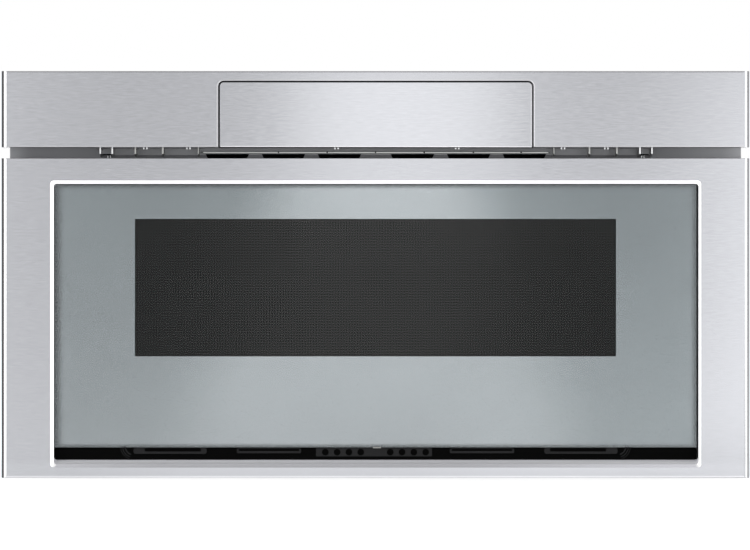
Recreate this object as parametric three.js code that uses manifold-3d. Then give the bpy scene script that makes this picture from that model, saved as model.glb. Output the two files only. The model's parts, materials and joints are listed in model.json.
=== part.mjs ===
// A built-in microwave drawer. A motor drives the food drawer out on telescopic slides,
// and the control panel tilts out of the fascia above it.
// Millimetres, +Z up, the front faces -Y. The origin is the middle of the underside of the
// chassis base, which rests on the floor of the cabinet cut-out.

import * as THREE from 'three';
import { mergeVertices } from 'three/addons/utils/BufferGeometryUtils.js';
import Module from 'manifold-3d';

const wasm = await Module();
wasm.setup();

// ---- Driving dimensions -------------------------------------------------------------

const FRONT_WIDTH = 759; // the steel fascia and drawer front
const FRONT_TOP = 396; // top of the fascia above the chassis base
const FASCIA_HEIGHT = 77;
const FRONT_GAP = 11.7; // air gap between the fascia and the drawer front
const DOOR_HEIGHT = 324.3;
const FRONT_DEPTH = 45; // steel fronts stand this far ahead of the flange
const EDGE_RADIUS = 5; // upright front edges of the fascia and the drawer front

const CHASSIS_WIDTH = 718;
const CHASSIS_DEPTH = 590;
const CHASSIS_HEIGHT = 372;
const FLANGE_WIDTH = 747;
const FLANGE_THICKNESS = 3;
const HEM = 0.5; // the flange's folded side edges stand this far behind its middle

const SHEET = 1; // sheet steel
const GAP = 0.3; // clearance between pieces that rest on each other

const OVEN_HALF_WIDTH = 262; // inside the oven liner
const OVEN_FLOOR = 72;
const OVEN_ROOF = 288;
const OVEN_BACK = 104;

const TRAY_HALF_WIDTH = 250; // inside the food drawer
const TRAY_BACK = 90;
const TRAY_BOTTOM = 82;
const TRAY_RIM = 266;

const WINDOW_HALF_WIDTH = 244.5; // perforated window in the drawer front
const WINDOW_BOTTOM = 106.3;
const WINDOW_TOP = 246;

const FLAP_HALF_WIDTH = 158;
const FLAP_TOP = 384.4;
const FLAP_AXIS = { y: -333, z: 325 }; // hinge axis of the control flap, along X

const RAIL_BOTTOM = 150;
const RAIL_HEIGHT = 45;

const RACK_PITCH_LINE = 115.5;
const PINION = { module: 2.5, teeth: 16, y: -268 };
const FLAP_GEAR = { module: 1.6, teeth: 43, pinionTeeth: 10 };
const FLAP_PINION_ANGLE = 60; // degrees above the horizontal, seen from the hinge axis

const ANTENNA_Y = -100; // middle of the antenna well, on X = 0
const MAGNETRON_Y = 165;
const BLOWER = { x: -165, z: 140, front: 140, depth: 50, wheelRadius: 44 };

// ---- Places worked out from them ----------------------------------------------------

const HALF_FRONT = FRONT_WIDTH / 2;
const HALF_CHASSIS = CHASSIS_WIDTH / 2;
const HALF_FLANGE = FLANGE_WIDTH / 2;
const CHASSIS_BACK = CHASSIS_DEPTH / 2;
const CABINET_FACE = -CHASSIS_DEPTH / 2; // the flange's rear face bears on it
const FLANGE_FACE = CABINET_FACE - FLANGE_THICKNESS;
const PANEL_FRONT = CABINET_FACE - HEM + GAP; // the chassis panels start here
const FRONT = FLANGE_FACE - FRONT_DEPTH; // plane of the steel fronts
const FASCIA_BOTTOM = FRONT_TOP - FASCIA_HEIGHT;
const DOOR_TOP = FASCIA_BOTTOM - FRONT_GAP;
const DOOR_BOTTOM = DOOR_TOP - DOOR_HEIGHT;
const DOOR_BACK = FLANGE_FACE - 5; // rear of the drawer front
const INSIDE = HALF_CHASSIS - SHEET - GAP; // half width between the side panels
const SLIDE = INSIDE; // the telescopic slides lie against the side panels
const RAIL_TOP = RAIL_BOTTOM + RAIL_HEIGHT;

// ---- Finishes -----------------------------------------------------------------------

const FINISH = {
  brushedSteel: { color: 0xd2d3d7, roughness: 0.38, metalness: 1 },
  zincSteel: { color: 0xb4b6b4, roughness: 0.5, metalness: 1 },
  silverPaint: { color: 0xb9bfc0, roughness: 0.5, metalness: 0.2 },
  darkPaint: { color: 0x6a6a6b, roughness: 0.6, metalness: 0 },
  blackPlastic: { color: 0x161617, roughness: 0.5, metalness: 0 },
  whitePlastic: { color: 0xe4e2dc, roughness: 0.5, metalness: 0 },
  ovenEnamel: { color: 0x8d8c88, roughness: 0.45, metalness: 0 },
  glass: { color: 0x8c9591, roughness: 0.08, metalness: 0.2 },
  screen: { color: 0x2c2c2c, roughness: 0.6, metalness: 0.3 },
  ceramic: { color: 0xe9e7df, roughness: 0.3, metalness: 0 },
  board: { color: 0x2f6b3c, roughness: 0.6, metalness: 0 },
  core: { color: 0x4b4a49, roughness: 0.6, metalness: 0.6 },
};

// ---- Making solids ------------------------------------------------------------------

const AXES = {
  x: new THREE.Vector3(1, 0, 0),
  y: new THREE.Vector3(0, 1, 0),
  z: new THREE.Vector3(0, 0, 1),
};

// Where an outline's two directions and its length point, for a prism along each axis.
const PRISM_FRAMES = {
  x: new THREE.Matrix4().makeBasis(AXES.y, AXES.z, AXES.x),
  y: new THREE.Matrix4().makeBasis(AXES.x, AXES.z, AXES.y.clone().negate()),
  z: new THREE.Matrix4().identity(),
};

function solid(geometry) {
  const bare = geometry.clone();
  bare.deleteAttribute('normal');
  bare.deleteAttribute('uv');
  const merged = mergeVertices(bare, 1e-4);
  return new wasm.Manifold(new wasm.Mesh({
    numProp: 3,
    vertProperties: new Float32Array(merged.attributes.position.array),
    triVerts: new Uint32Array(merged.index.array),
  }));
}

function geometryOf(body) {
  const { vertProperties, triVerts } = body.getMesh();
  const geometry = new THREE.BufferGeometry();
  geometry.setAttribute('position', new THREE.BufferAttribute(vertProperties, 3));
  geometry.setIndex(new THREE.BufferAttribute(triVerts, 1));
  geometry.computeVertexNormals();
  return geometry;
}

const join = (...bodies) => bodies.reduce((whole, body) => whole.add(body));
const cut = (body, ...tools) => tools.reduce((rest, tool) => rest.subtract(tool), body);

function block([x0, x1], [y0, y1], [z0, z1]) {
  const geometry = new THREE.BoxGeometry(x1 - x0, y1 - y0, z1 - z0);
  geometry.translate((x0 + x1) / 2, (y0 + y1) / 2, (z0 + z1) / 2);
  return solid(geometry);
}

// An outline of [u, v] points drawn out along an axis. u and v are y, z for a prism along x,
// x, z for one along y, and x, y for one along z.
function prism(axis, outline, [from, to]) {
  const shape = new THREE.Shape(outline.map(([u, v]) => new THREE.Vector2(u, v)));
  const geometry = new THREE.ExtrudeGeometry(shape, { depth: to - from, bevelEnabled: false });
  geometry.applyMatrix4(PRISM_FRAMES[axis]);
  const start = axis === 'y' ? to : from;
  geometry.translate(...AXES[axis].clone().multiplyScalar(start).toArray());
  return solid(geometry);
}

const radians = (degrees) => degrees * Math.PI / 180;

function arc(u, v, radius, fromDegrees, toDegrees, steps) {
  return Array.from({ length: steps + 1 }, (_, i) => {
    const angle = radians(fromDegrees + (toDegrees - fromDegrees) * i / steps);
    return [u + radius * Math.cos(angle), v + radius * Math.sin(angle)];
  });
}

const circle = (u, v, radius, sides) => arc(u, v, radius, 0, 360, sides).slice(0, sides);
const rod = (axis, u, v, radius, span, sides = 16) => prism(axis, circle(u, v, radius, sides), span);

function roundedRectangle([u0, u1], [v0, v1], radius, steps = 3) {
  return [
    ...arc(u1 - radius, v1 - radius, radius, 0, 90, steps),
    ...arc(u0 + radius, v1 - radius, radius, 90, 180, steps),
    ...arc(u0 + radius, v0 + radius, radius, 180, 270, steps),
    ...arc(u1 - radius, v0 + radius, radius, 270, 360, steps),
  ];
}

// A span and its mirror image across X = 0. side is 1 on the right and -1 on the left.
const mirrored = (side, [x0, x1]) => (side > 0 ? [x0, x1] : [-x1, -x0]);
const both = (half) => [-half, half];
const SIDES = { right: 1, left: -1 };

const model = new THREE.Group();

function place(name, body, finish, group = model) {
  const mesh = new THREE.Mesh(geometryOf(body), new THREE.MeshStandardMaterial(FINISH[finish]));
  mesh.name = name;
  group.add(mesh);
}

// ---- Chassis panels -----------------------------------------------------------------

function slots(count, at) {
  return Array.from({ length: count }, (_, i) => at(i));
}

function basePan() {
  const back = CHASSIS_BACK - SHEET - GAP;
  const front = PANEL_FRONT;
  const lip = 18;
  const floor = block(both(INSIDE), [front, back], [0, SHEET]);
  const edges = [
    block([-INSIDE, SHEET - INSIDE], [front, back], [0, lip]),
    block([INSIDE - SHEET, INSIDE], [front, back], [0, lip]),
    block(both(INSIDE), [back - SHEET, back], [0, lip]),
  ];
  const vents = slots(9, (i) => block([-235 + 16 * i, -229 + 16 * i], [205, 265], [-1, 3]));
  return cut(join(floor, ...edges), ...vents);
}

function sidePanel(side) {
  const fold = 12;
  const top = CHASSIS_HEIGHT - SHEET - GAP;
  const sheet = block(mirrored(side, [HALF_CHASSIS - SHEET, HALF_CHASSIS]),
    [PANEL_FRONT, CHASSIS_BACK], [0, CHASSIS_HEIGHT]);
  const ledge = block(mirrored(side, [HALF_CHASSIS - fold, HALF_CHASSIS]),
    [PANEL_FRONT, CHASSIS_BACK - SHEET - GAP], [top - SHEET, top]);
  const vents = slots(8, (i) => block(mirrored(side, [HALF_CHASSIS - 3, HALF_CHASSIS + 1]),
    [180, 255], [90 + 18 * i, 95 + 18 * i]));
  return cut(join(sheet, ledge), ...vents);
}

function topCover() {
  const sheet = block(both(HALF_CHASSIS - SHEET - GAP),
    [PANEL_FRONT, CHASSIS_BACK - SHEET - GAP], [CHASSIS_HEIGHT - SHEET, CHASSIS_HEIGHT]);
  const vents = slots(10, (i) => block([-100 + 20 * i, -94 + 20 * i],
    [200, 260], [CHASSIS_HEIGHT - 3, CHASSIS_HEIGHT + 1]));
  return cut(sheet, ...vents);
}

const INLET = { x: 250, z: 80, bore: 12 };

function rearPanel() {
  const sheet = block(both(HALF_CHASSIS - SHEET - GAP),
    [CHASSIS_BACK - SHEET, CHASSIS_BACK], [0, CHASSIS_HEIGHT]);
  const through = [CHASSIS_BACK - 3, CHASSIS_BACK + 1];
  const vents = slots(7, (i) => block([BLOWER.x - 45, BLOWER.x + 45], through,
    [BLOWER.z - 50 + 16 * i, BLOWER.z - 44 + 16 * i]));
  const inlet = rod('y', INLET.x, INLET.z, INLET.bore + GAP, through);
  return cut(sheet, inlet, ...vents);
}

// A flanged bush in the rear panel, where the supply lead would come in.
function powerInlet() {
  const collar = 17;
  const bush = rod('y', INLET.x, INLET.z, INLET.bore, [CHASSIS_BACK - 12, CHASSIS_BACK + 1]);
  const rim = rod('y', INLET.x, INLET.z, collar, [CHASSIS_BACK + GAP, CHASSIS_BACK + 3]);
  const bore = rod('y', INLET.x, INLET.z, 5, [CHASSIS_BACK - 13, CHASSIS_BACK + 4]);
  return cut(join(bush, rim), bore);
}

// ---- Front flange, fascia and the parts in the gap ----------------------------------

const MOUTH = { half: 304, bottom: 44, top: 300 }; // the drawer's way through the flange
const DUCT = { half: 176, bottom: OVEN_ROOF + SHEET + GAP, top: 316.5, back: -100 };
const ARM_X = [SLIDE - 15.5, SLIDE - 14]; // the drawer's side arms
const HOOK = { x: [316, 324], z: [202, 238] };

function frontFlange() {
  const through = [FLANGE_FACE - 1, CABINET_FACE + 1];
  const outline = roundedRectangle(both(HALF_FLANGE), [-8, 388], 4);
  const plate = prism('y', outline, [FLANGE_FACE, CABINET_FACE]);
  const mouth = block(both(MOUTH.half), through, [MOUTH.bottom, MOUTH.top]);
  const airWay = block(both(DUCT.half), through, [304, 317]);
  const flapWay = block(both(159), through, [322, 370]);
  const rackWay = block([-SLIDE + 9, -SLIDE + 25], through, [104, RAIL_BOTTOM]);
  const perSide = Object.values(SIDES).flatMap((side) => [
    block(mirrored(side, [ARM_X[0] - 1, SLIDE]), through, [RAIL_BOTTOM - 4, RAIL_TOP + 4]),
    block(mirrored(side, [HOOK.x[0] - 3, HOOK.x[1] + 3]), through, [HOOK.z[0] - 4, HOOK.z[1] + 4]),
    block(mirrored(side, [230, 290]), through, [335, 365]),
    rod('y', side * 365, 60, 2.4, through, 8),
    rod('y', side * 365, 320, 2.4, through, 8),
  ]);
  const middle = block(both(HALF_CHASSIS + 1), [CABINET_FACE - HEM, CABINET_FACE + 1], [-9, 389]);
  return cut(plate, middle, mouth, airWay, flapWay, rackWay, ...perSide);
}

// The front profile seen from above: square at the back, rounded at the upright front edges.
function frontProfile(half, front, back, radius) {
  return [
    [half, back],
    [-half, back],
    ...arc(-half + radius, front + radius, radius, 180, 270, 4),
    ...arc(half - radius, front + radius, radius, 270, 360, 4),
  ];
}

function frontShell(front, back, [bottom, top]) {
  const outer = prism('z', frontProfile(HALF_FRONT, front, back, EDGE_RADIUS), [bottom, top]);
  const inner = prism('z', frontProfile(HALF_FRONT - SHEET, front + SHEET, back + 1,
    EDGE_RADIUS - SHEET), [bottom + SHEET, top - SHEET]);
  return cut(outer, inner);
}

function upperFascia() {
  const opening = FLAP_HALF_WIDTH + 1.7;
  const shell = frontShell(FRONT, FLANGE_FACE - GAP, [FASCIA_BOTTOM, FRONT_TOP]);
  const radius = 5;
  const outline = [
    [opening, FASCIA_BOTTOM - 1],
    ...arc(opening - radius, FLAP_TOP + 1.6 - radius, radius, 0, 90, 3),
    ...arc(-opening + radius, FLAP_TOP + 1.6 - radius, radius, 90, 180, 3),
    [-opening, FASCIA_BOTTOM - 1],
  ];
  return cut(shell, prism('y', outline, [FRONT - 1, FRONT + SHEET + 1]),
    block(both(opening), [FRONT - 1, FLANGE_FACE + 1], [FASCIA_BOTTOM - 1, FASCIA_BOTTOM + 3]));
}

const VENT_SLOT = { half: 21.2, top: 312.3, bottom: 308.1, slant: 3 };
const VENT_SLOT_CENTRES = [-150.8, -93.8, -36.8, 36.8, 93.8, 150.8];

// The dark moulding in the gap: a bar with a stepped lower edge, a thin lip over six slots.
function ventTrim() {
  const back = FLANGE_FACE - GAP;
  const front = DOOR_BACK + GAP;
  const bar = block(both(HALF_FLANGE - 0.5), [front, back], [303.2, FASCIA_BOTTOM - GAP]);
  const step = block(both(268), [front - 1, front + 2], [302, 310.3]);
  const lip = prism('y', [[-170, 313.2], [170, 313.2], [178, 314.2], [-178, 314.2]], [front - 7, front + 1]);
  const openings = VENT_SLOT_CENTRES.map((x) => prism('y', [
    [x - VENT_SLOT.half + VENT_SLOT.slant, VENT_SLOT.bottom],
    [x + VENT_SLOT.half - VENT_SLOT.slant, VENT_SLOT.bottom],
    [x + VENT_SLOT.half, VENT_SLOT.top],
    [x - VENT_SLOT.half, VENT_SLOT.top],
  ], [front - 1, back + 1]));
  return cut(join(cut(bar, step), lip), ...openings);
}

const GUIDE_TABS = [180, 216.6, 244, 267.3, 279.5]; // upright tabs in the gap, from the middle

function airGuide(side) {
  const tabTop = FASCIA_BOTTOM - GAP;
  const tabBottom = 311.8;
  const back = DOOR_BACK;
  const strip = block(mirrored(side, [GUIDE_TABS[0] - 6, GUIDE_TABS[4] + 6]),
    [back - 5, back], [tabTop - 1.2, tabTop]);
  const tabs = GUIDE_TABS.map((x) => block(mirrored(side, [x - 0.6, x + 0.6]),
    [FRONT + 8, back], [tabBottom, tabTop]));
  const foot = block(mirrored(side, [GUIDE_TABS[3] - 0.6, GUIDE_TABS[4] + 0.6]),
    [FRONT + 10, back], [tabBottom, tabBottom + 1]);
  return join(strip, foot, ...tabs);
}

// ---- Oven ---------------------------------------------------------------------------

const WELL = { half: 120, bottom: 58, ledge: 10, coverThickness: 4 };

function ovenCavity() {
  const front = CABINET_FACE - 1;
  const wellY = both(WELL.half).map((y) => ANTENNA_Y + y);
  const ledgeHalf = WELL.half + WELL.ledge;
  const ledgeY = both(ledgeHalf).map((y) => ANTENNA_Y + y);
  const ledgeZ = OVEN_FLOOR - WELL.coverThickness;
  const grow = ([a, b]) => [a - SHEET, b + SHEET];
  const outer = join(
    block(both(OVEN_HALF_WIDTH + SHEET), [front, OVEN_BACK + SHEET], [OVEN_FLOOR - SHEET, OVEN_ROOF + SHEET]),
    block(grow(both(ledgeHalf)), grow(ledgeY), [ledgeZ - SHEET, OVEN_FLOOR]),
    block(grow(both(WELL.half)), grow(wellY), [WELL.bottom - SHEET, OVEN_FLOOR]),
  );
  const room = join(
    block(both(OVEN_HALF_WIDTH), [front - 1, OVEN_BACK], [OVEN_FLOOR, OVEN_ROOF]),
    block(both(ledgeHalf), ledgeY, [ledgeZ, OVEN_FLOOR + 1]),
    block(both(WELL.half), wellY, [WELL.bottom, OVEN_FLOOR + 1]),
  );
  const coupling = rod('z', 0, ANTENNA_Y, 20, [WELL.bottom - 5, WELL.bottom + 1]);
  const exhaust = slots(8, (i) => block([-108 + 28 * i, -88 + 28 * i], [-200, -140],
    [OVEN_ROOF - 1, OVEN_ROOF + 5]));
  const airIn = slots(6, (i) => block([60, 100], [OVEN_BACK - 1, OVEN_BACK + 5], [200 + 9 * i, 203 + 9 * i]));
  const lampHoles = slots(3, (i) => block([-OVEN_HALF_WIDTH - 5, -OVEN_HALF_WIDTH + 1],
    [5, 35], [232 + 6 * i, 235 + 6 * i]));
  return cut(outer, room, coupling, ...exhaust, ...airIn, ...lampHoles);
}

function cavityFrontPlate() {
  const plate = block(both(MOUTH.half - 1.5), [FLANGE_FACE, FLANGE_FACE + SHEET],
    [MOUTH.bottom + 1, MOUTH.top - 1]);
  const mouth = block(both(OVEN_HALF_WIDTH), [FLANGE_FACE - 1, FLANGE_FACE + 3], [OVEN_FLOOR, OVEN_ROOF]);
  return cut(plate, mouth);
}

function antennaCover() {
  const half = WELL.half + WELL.ledge - 0.5;
  const outline = roundedRectangle(both(half), both(half).map((y) => ANTENNA_Y + y), 8);
  return prism('z', outline, [OVEN_FLOOR - WELL.coverThickness + GAP, OVEN_FLOOR]);
}

// ---- Microwave source ---------------------------------------------------------------

const GUIDE = { half: 48, front: -150, back: 205, bottom: 16.5, top: WELL.bottom - SHEET - GAP };
const MAGNETRON_DOME = { radius: 10, bottom: 38 };

function waveguide() {
  const outer = block(both(GUIDE.half), [GUIDE.front, GUIDE.back], [GUIDE.bottom, GUIDE.top]);
  const inner = block(both(GUIDE.half - SHEET), [GUIDE.front + SHEET, GUIDE.back - SHEET],
    [GUIDE.bottom + SHEET, GUIDE.top - SHEET]);
  const port = rod('z', 0, MAGNETRON_Y, MAGNETRON_DOME.radius + 3, [GUIDE.top - 4, GUIDE.top + 1]);
  const coupling = rod('z', 0, ANTENNA_Y, 20, [GUIDE.top - 4, GUIDE.top + 1]);
  const shaftHole = rod('z', 0, ANTENNA_Y, 7, [GUIDE.bottom - 1, GUIDE.bottom + 4], 12);
  return cut(outer, inner, port, coupling, shaftHole);
}

const MOTOR_TOP = 14.2; // antenna motor, under the waveguide

function antennaMotor() {
  const body = rod('z', 0, ANTENNA_Y, 25, [SHEET + GAP, MOTOR_TOP], 20);
  const ears = block(both(36), [ANTENNA_Y - 7, ANTENNA_Y + 7], [MOTOR_TOP - 2, MOTOR_TOP]);
  return join(body, ears);
}

// A slotted disc on a shaft, turning in the well under the ceramic cover.
function antenna() {
  const shaft = rod('z', 0, 0, 4, [MOTOR_TOP + GAP, 62], 12);
  const hub = rod('z', 0, 0, 9, [60, 65.5], 16);
  const disc = rod('z', 0, 0, 82, [62, 63.5], 32);
  const windows = [0, 120, 240].map((turn) => prism('z', [
    ...arc(0, 0, 68, turn, turn + 80, 8),
    ...arc(0, 0, 52, turn + 80, turn, 8),
  ], [61, 65]));
  const notch = block([20, 45], [-5, 5], [61, 65]);
  return cut(join(shaft, hub, disc), notch, ...windows);
}

function magnetron() {
  const top = 138;
  const base = GUIDE.top + GAP;
  const y0 = MAGNETRON_Y - 38;
  const y1 = MAGNETRON_Y + 38;
  const yoke = cut(block(both(46), [y0, y1], [base, top]),
    block(both(44), [y0 - 1, y1 + 1], [base + 2, top - 2]));
  const anode = rod('z', 0, MAGNETRON_Y, 20, [base + 1, top - 1], 20);
  const fins = slots(7, (i) => block(both(45), [y0 + 6, y1 - 6], [base + 16 + 8 * i, base + 17 + 8 * i]));
  const filterBox = block([-36, 36], [MAGNETRON_Y - 30, MAGNETRON_Y + 30], [top - 1, top + 30]);
  const connector = block([36, 48], [MAGNETRON_Y - 12, MAGNETRON_Y + 12], [top + 6, top + 22]);
  const dome = rod('z', 0, MAGNETRON_Y, MAGNETRON_DOME.radius, [MAGNETRON_DOME.bottom, base + 1]);
  return join(yoke, anode, filterBox, connector, dome, ...fins);
}

function hvTransformer() {
  const x = 190;
  const y = 195;
  const foot = SHEET + GAP;
  const core = cut(block([x - 50, x + 50], [y - 32, y + 32], [foot + 2, 82]),
    block([x - 32, x - 12], [y - 33, y + 33], [18, 66]),
    block([x + 12, x + 32], [y - 33, y + 33], [18, 66]));
  const winding = (z0, z1, reach) => cut(
    block([x - 31, x + 31], [y - reach, y + reach], [z0, z1]),
    block([x - 11, x + 11], [y - 31, y + 31], [z0 - 1, z1 + 1]));
  const plate = block([x - 62, x + 62], [y - 30, y + 30], [foot, foot + 2.2]);
  return join(core, winding(19, 40, 46), winding(43, 65, 50), plate);
}

function hvCapacitor() {
  const x = 300;
  const y = 190;
  const can = prism('y', [
    ...arc(x + 12, 45, 19, -90, 90, 8),
    ...arc(x - 12, 45, 19, 90, 270, 8),
  ], [y - 45, y + 45]);
  const strap = block([x - 12, x + 12], [y - 8, y + 8], [SHEET + GAP, 30]);
  const terminals = [-10, 10].map((dx) => block([x + dx - 3, x + dx + 3], [y - 56, y - 44], [44, 46]));
  return join(can, strap, ...terminals);
}

// ---- Blower -------------------------------------------------------------------------

const scrollRadius = (degrees) => 52 + 25 * (degrees + 30) / 300;

// A spiral that widens to the outlet, which blows along +X at the magnetron's fins.
function scroll(inset) {
  const steps = 24;
  const spiral = Array.from({ length: steps + 1 }, (_, i) => {
    const degrees = -30 + 300 * i / steps;
    const radius = scrollRadius(degrees) - inset;
    return [BLOWER.x + radius * Math.cos(radians(degrees)), BLOWER.z + radius * Math.sin(radians(degrees))];
  });
  const outletEnd = -50 + (inset ? 1 : 0);
  const floor = BLOWER.z - scrollRadius(270) + inset;
  const roof = BLOWER.z + scrollRadius(-30) * Math.sin(radians(-30)) - inset;
  return [...spiral, [outletEnd, floor], [outletEnd, roof]];
}

function blowerHousing() {
  const { front, depth } = BLOWER;
  const shell = prism('y', scroll(0), [front, front + depth]);
  const room = prism('y', scroll(1.6), [front + 1.6, front + depth - 1.6]);
  const intake = rod('y', BLOWER.x, BLOWER.z, 33, [front - 1, front + depth + 1], 24);
  const foot = block([BLOWER.x - 30, BLOWER.x + 20], [front, front + depth],
    [SHEET + GAP, BLOWER.z - scrollRadius(270) + 1]);
  return join(cut(shell, room, intake), cut(foot, block([BLOWER.x - 28, BLOWER.x + 18],
    [front - 1, front + depth + 1], [SHEET + 2, BLOWER.z - scrollRadius(270)])));
}

// The wheel is drawn about its own axis, along Y.
function blowerWheel() {
  const { front, depth, wheelRadius } = BLOWER;
  const y0 = front + 6;
  const y1 = front + depth - 6;
  const disc = rod('y', 0, 0, wheelRadius, [y1 - 2, y1], 24);
  const hub = rod('y', 0, 0, 8, [y1 - 14, y1 + 1], 12);
  const rim = cut(rod('y', 0, 0, wheelRadius, [y0, y0 + 3], 24),
    rod('y', 0, 0, wheelRadius - 6, [y0 - 1, y0 + 4], 24));
  const blades = slots(18, (i) => {
    const turn = 20 * i;
    return prism('y', [
      ...arc(0, 0, wheelRadius - 6, turn, turn + 4, 1),
      ...arc(0, 0, wheelRadius - 0.5, turn + 14, turn + 10, 1),
    ], [y0 + 1, y1 - 1]);
  });
  return join(disc, hub, rim, ...blades);
}

function blowerMotor() {
  const y0 = BLOWER.front + BLOWER.depth + GAP;
  const can = rod('y', BLOWER.x, BLOWER.z, 26, [y0 + 12, y0 + 52], 20);
  const shaft = rod('y', BLOWER.x, BLOWER.z, 3, [BLOWER.front + BLOWER.depth - 4.5, y0 + 13], 8);
  const arms = [30, 150, 270].map((turn) => {
    const x = BLOWER.x + 40 * Math.cos(radians(turn));
    const z = BLOWER.z + 40 * Math.sin(radians(turn));
    return join(
      block([x - 4, x + 4], [y0, y0 + 18], [z - 4, z + 4]),
      prism('y', [
        ...arc(BLOWER.x, BLOWER.z, 20, turn - 12, turn + 12, 1),
        ...arc(BLOWER.x, BLOWER.z, 42, turn + 5, turn - 5, 1),
      ], [y0 + 13, y0 + 17]),
    );
  });
  return join(can, shaft, ...arms);
}

function exhaustDuct() {
  const outer = block(both(DUCT.half - 0.5), [PANEL_FRONT, DUCT.back], [DUCT.bottom, DUCT.top]);
  const inner = block(both(DUCT.half - 2), [CABINET_FACE - 1, DUCT.back - SHEET],
    [DUCT.bottom - 1, DUCT.top - SHEET]);
  return cut(outer, inner);
}

function ovenLamp() {
  const wall = -OVEN_HALF_WIDTH - SHEET - GAP;
  const hollow = block([wall - 32.5, wall + 1], [0, 40], [222, 260]);
  const box = cut(block([wall - 34, wall], [-2, 42], [220, 262]), hollow);
  const socket = rod('x', 20, 241, 9, [wall - 46, wall - 20], 12);
  const bulb = rod('x', 20, 241, 7, [wall - 21, wall - 6], 12);
  return join(box, socket, bulb);
}

function powerBoard() {
  const x = -INSIDE + 14;
  const board = block([x, x + 1.6], [162, 286], [40, 190]);
  const standoffs = [[170, 50], [278, 50], [170, 180], [278, 180]].map(([y, z]) =>
    rod('x', y, z, 4, [-INSIDE + SHEET + GAP, x + 1], 8));
  const relays = slots(3, (i) => block([x + 1, x + 21], [175 + 26 * i, 195 + 26 * i], [150, 178]));
  const transformer = block([x + 1, x + 35], [230, 275], [60, 104]);
  const heatSink = join(...slots(5, (i) => block([x + 1, x + 32], [172 + 10 * i, 176 + 10 * i], [60, 120])),
    block([x + 1, x + 8], [172, 216], [60, 120]));
  const capacitors = [232, 252, 272].map((y) => rod('x', y, 128, 9, [x + 1, x + 26], 12));
  return join(board, transformer, heatSink, ...standoffs, ...relays, ...capacitors);
}

// ---- Gears --------------------------------------------------------------------------

// A gear outline with straight-sided teeth, from one angle to another, about its own axis.
// A tooth or a gap stands at the start angle.
function gearOutline(module, teeth, { count = teeth, startDegrees = 0 } = {}) {
  const pitch = module * teeth / 2;
  const step = 360 / teeth;
  const tip = pitch + 0.9 * module;
  const root = pitch - 1.25 * module;
  return Array.from({ length: count }, (_, i) => {
    const middle = startDegrees + step * i;
    const at = (radius, share) => {
      const angle = radians(middle + share * step);
      return [radius * Math.cos(angle), radius * Math.sin(angle)];
    };
    return [at(root, -0.32), at(tip, -0.11), at(tip, 0.11), at(root, 0.32)];
  }).flat();
}

const moved = (outline, u, v) => outline.map(([a, b]) => [a + u, b + v]);

// ---- Drawer drive -------------------------------------------------------------------

const PINION_RADIUS = PINION.module * PINION.teeth / 2;
const PINION_Z = RACK_PITCH_LINE - PINION_RADIUS - 0.5;
const RACK_X = [GAP - ARM_X[0], GAP + 7 - ARM_X[0]];
const PINION_X = [RACK_X[0] + 0.4, RACK_X[0] + 6.4];
const GEARBOX_X = [RACK_X[1] + 1.4, RACK_X[1] + 34.4];

function driveRack() {
  const pitch = Math.PI * PINION.module;
  const count = 54;
  const top = 125.7;
  const root = RACK_PITCH_LINE + 1.25 * PINION.module;
  const tip = RACK_PITCH_LINE - 0.9 * PINION.module;
  // A gap between two teeth stands over the pinion's top tooth when the drawer is shut.
  const first = PINION.y - 3.5 * pitch;
  const teeth = Array.from({ length: count }, (_, i) => {
    const middle = first + pitch * i;
    return [
      [middle - 0.32 * pitch, root],
      [middle - 0.11 * pitch, tip],
      [middle + 0.11 * pitch, tip],
      [middle + 0.32 * pitch, root],
    ];
  }).flat();
  const front = first - pitch / 2;
  const back = first + pitch * (count - 0.5);
  return prism('x', [[front, root], ...teeth, [back, root], [back, top], [front, top]], RACK_X);
}

// Drawn about its own axis, along X, with a tooth upwards.
function drivePinion() {
  const gear = prism('x', gearOutline(PINION.module, PINION.teeth, { startDegrees: 90 }), PINION_X);
  const shaft = rod('x', 0, 0, 4, [PINION_X[0], GEARBOX_X[0] + 12], 12);
  return join(gear, shaft);
}

function drawerMotor() {
  const [x0, x1] = GEARBOX_X;
  const { y } = PINION;
  const gearbox = block([x0, x1], [y - 20, y + 48], [PINION_Z - 24, PINION_Z + 24]);
  const can = rod('y', (x0 + x1) / 2, PINION_Z, 16, [y + 47, y + 112], 20);
  const bracket = join(block([x0 + 4, x1 - 4], [y - 10, y + 40], [SHEET + GAP, PINION_Z - 23]),
    block([x0 + 4, x1 + 22], [y - 10, y + 40], [SHEET + GAP, 4]));
  const bore = rod('x', y, PINION_Z, 4.5, [x0 - 1, x0 + 14], 12);
  return cut(join(gearbox, can, bracket), bore);
}

// ---- Slides, from the side panel inwards --------------------------------------------

const RAIL_LENGTH = { fixed: [CABINET_FACE + 1, 156], middle: [-290, 150], inner: [-300, 140] };

// A channel seen from the front: its web against one side, two edges turned in.
function channel(side, web, reach, [bottom, top], span) {
  const thickness = 1.5;
  const x = (half) => mirrored(side, half);
  return join(
    block(x(web), span, [bottom, top]),
    block(x(reach), span, [bottom, bottom + thickness]),
    block(x(reach), span, [top - thickness, top]),
  );
}

const outerRail = (side) => channel(side, [SLIDE - 1.5, SLIDE], [SLIDE - 8.7, SLIDE],
  [RAIL_BOTTOM, RAIL_TOP], RAIL_LENGTH.fixed);
const middleRail = (side) => channel(side, [SLIDE - 5, SLIDE - 3.5], [SLIDE - 9.5, SLIDE - 3.5],
  [RAIL_BOTTOM + 3.5, RAIL_TOP - 3.5], RAIL_LENGTH.middle);
const innerRail = (side) => channel(side, [SLIDE - 13.7, SLIDE - 12.2], [SLIDE - 13.7, SLIDE - 6.7],
  [RAIL_BOTTOM + 8, RAIL_TOP - 8], RAIL_LENGTH.inner);

// ---- Interlock ----------------------------------------------------------------------

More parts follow.
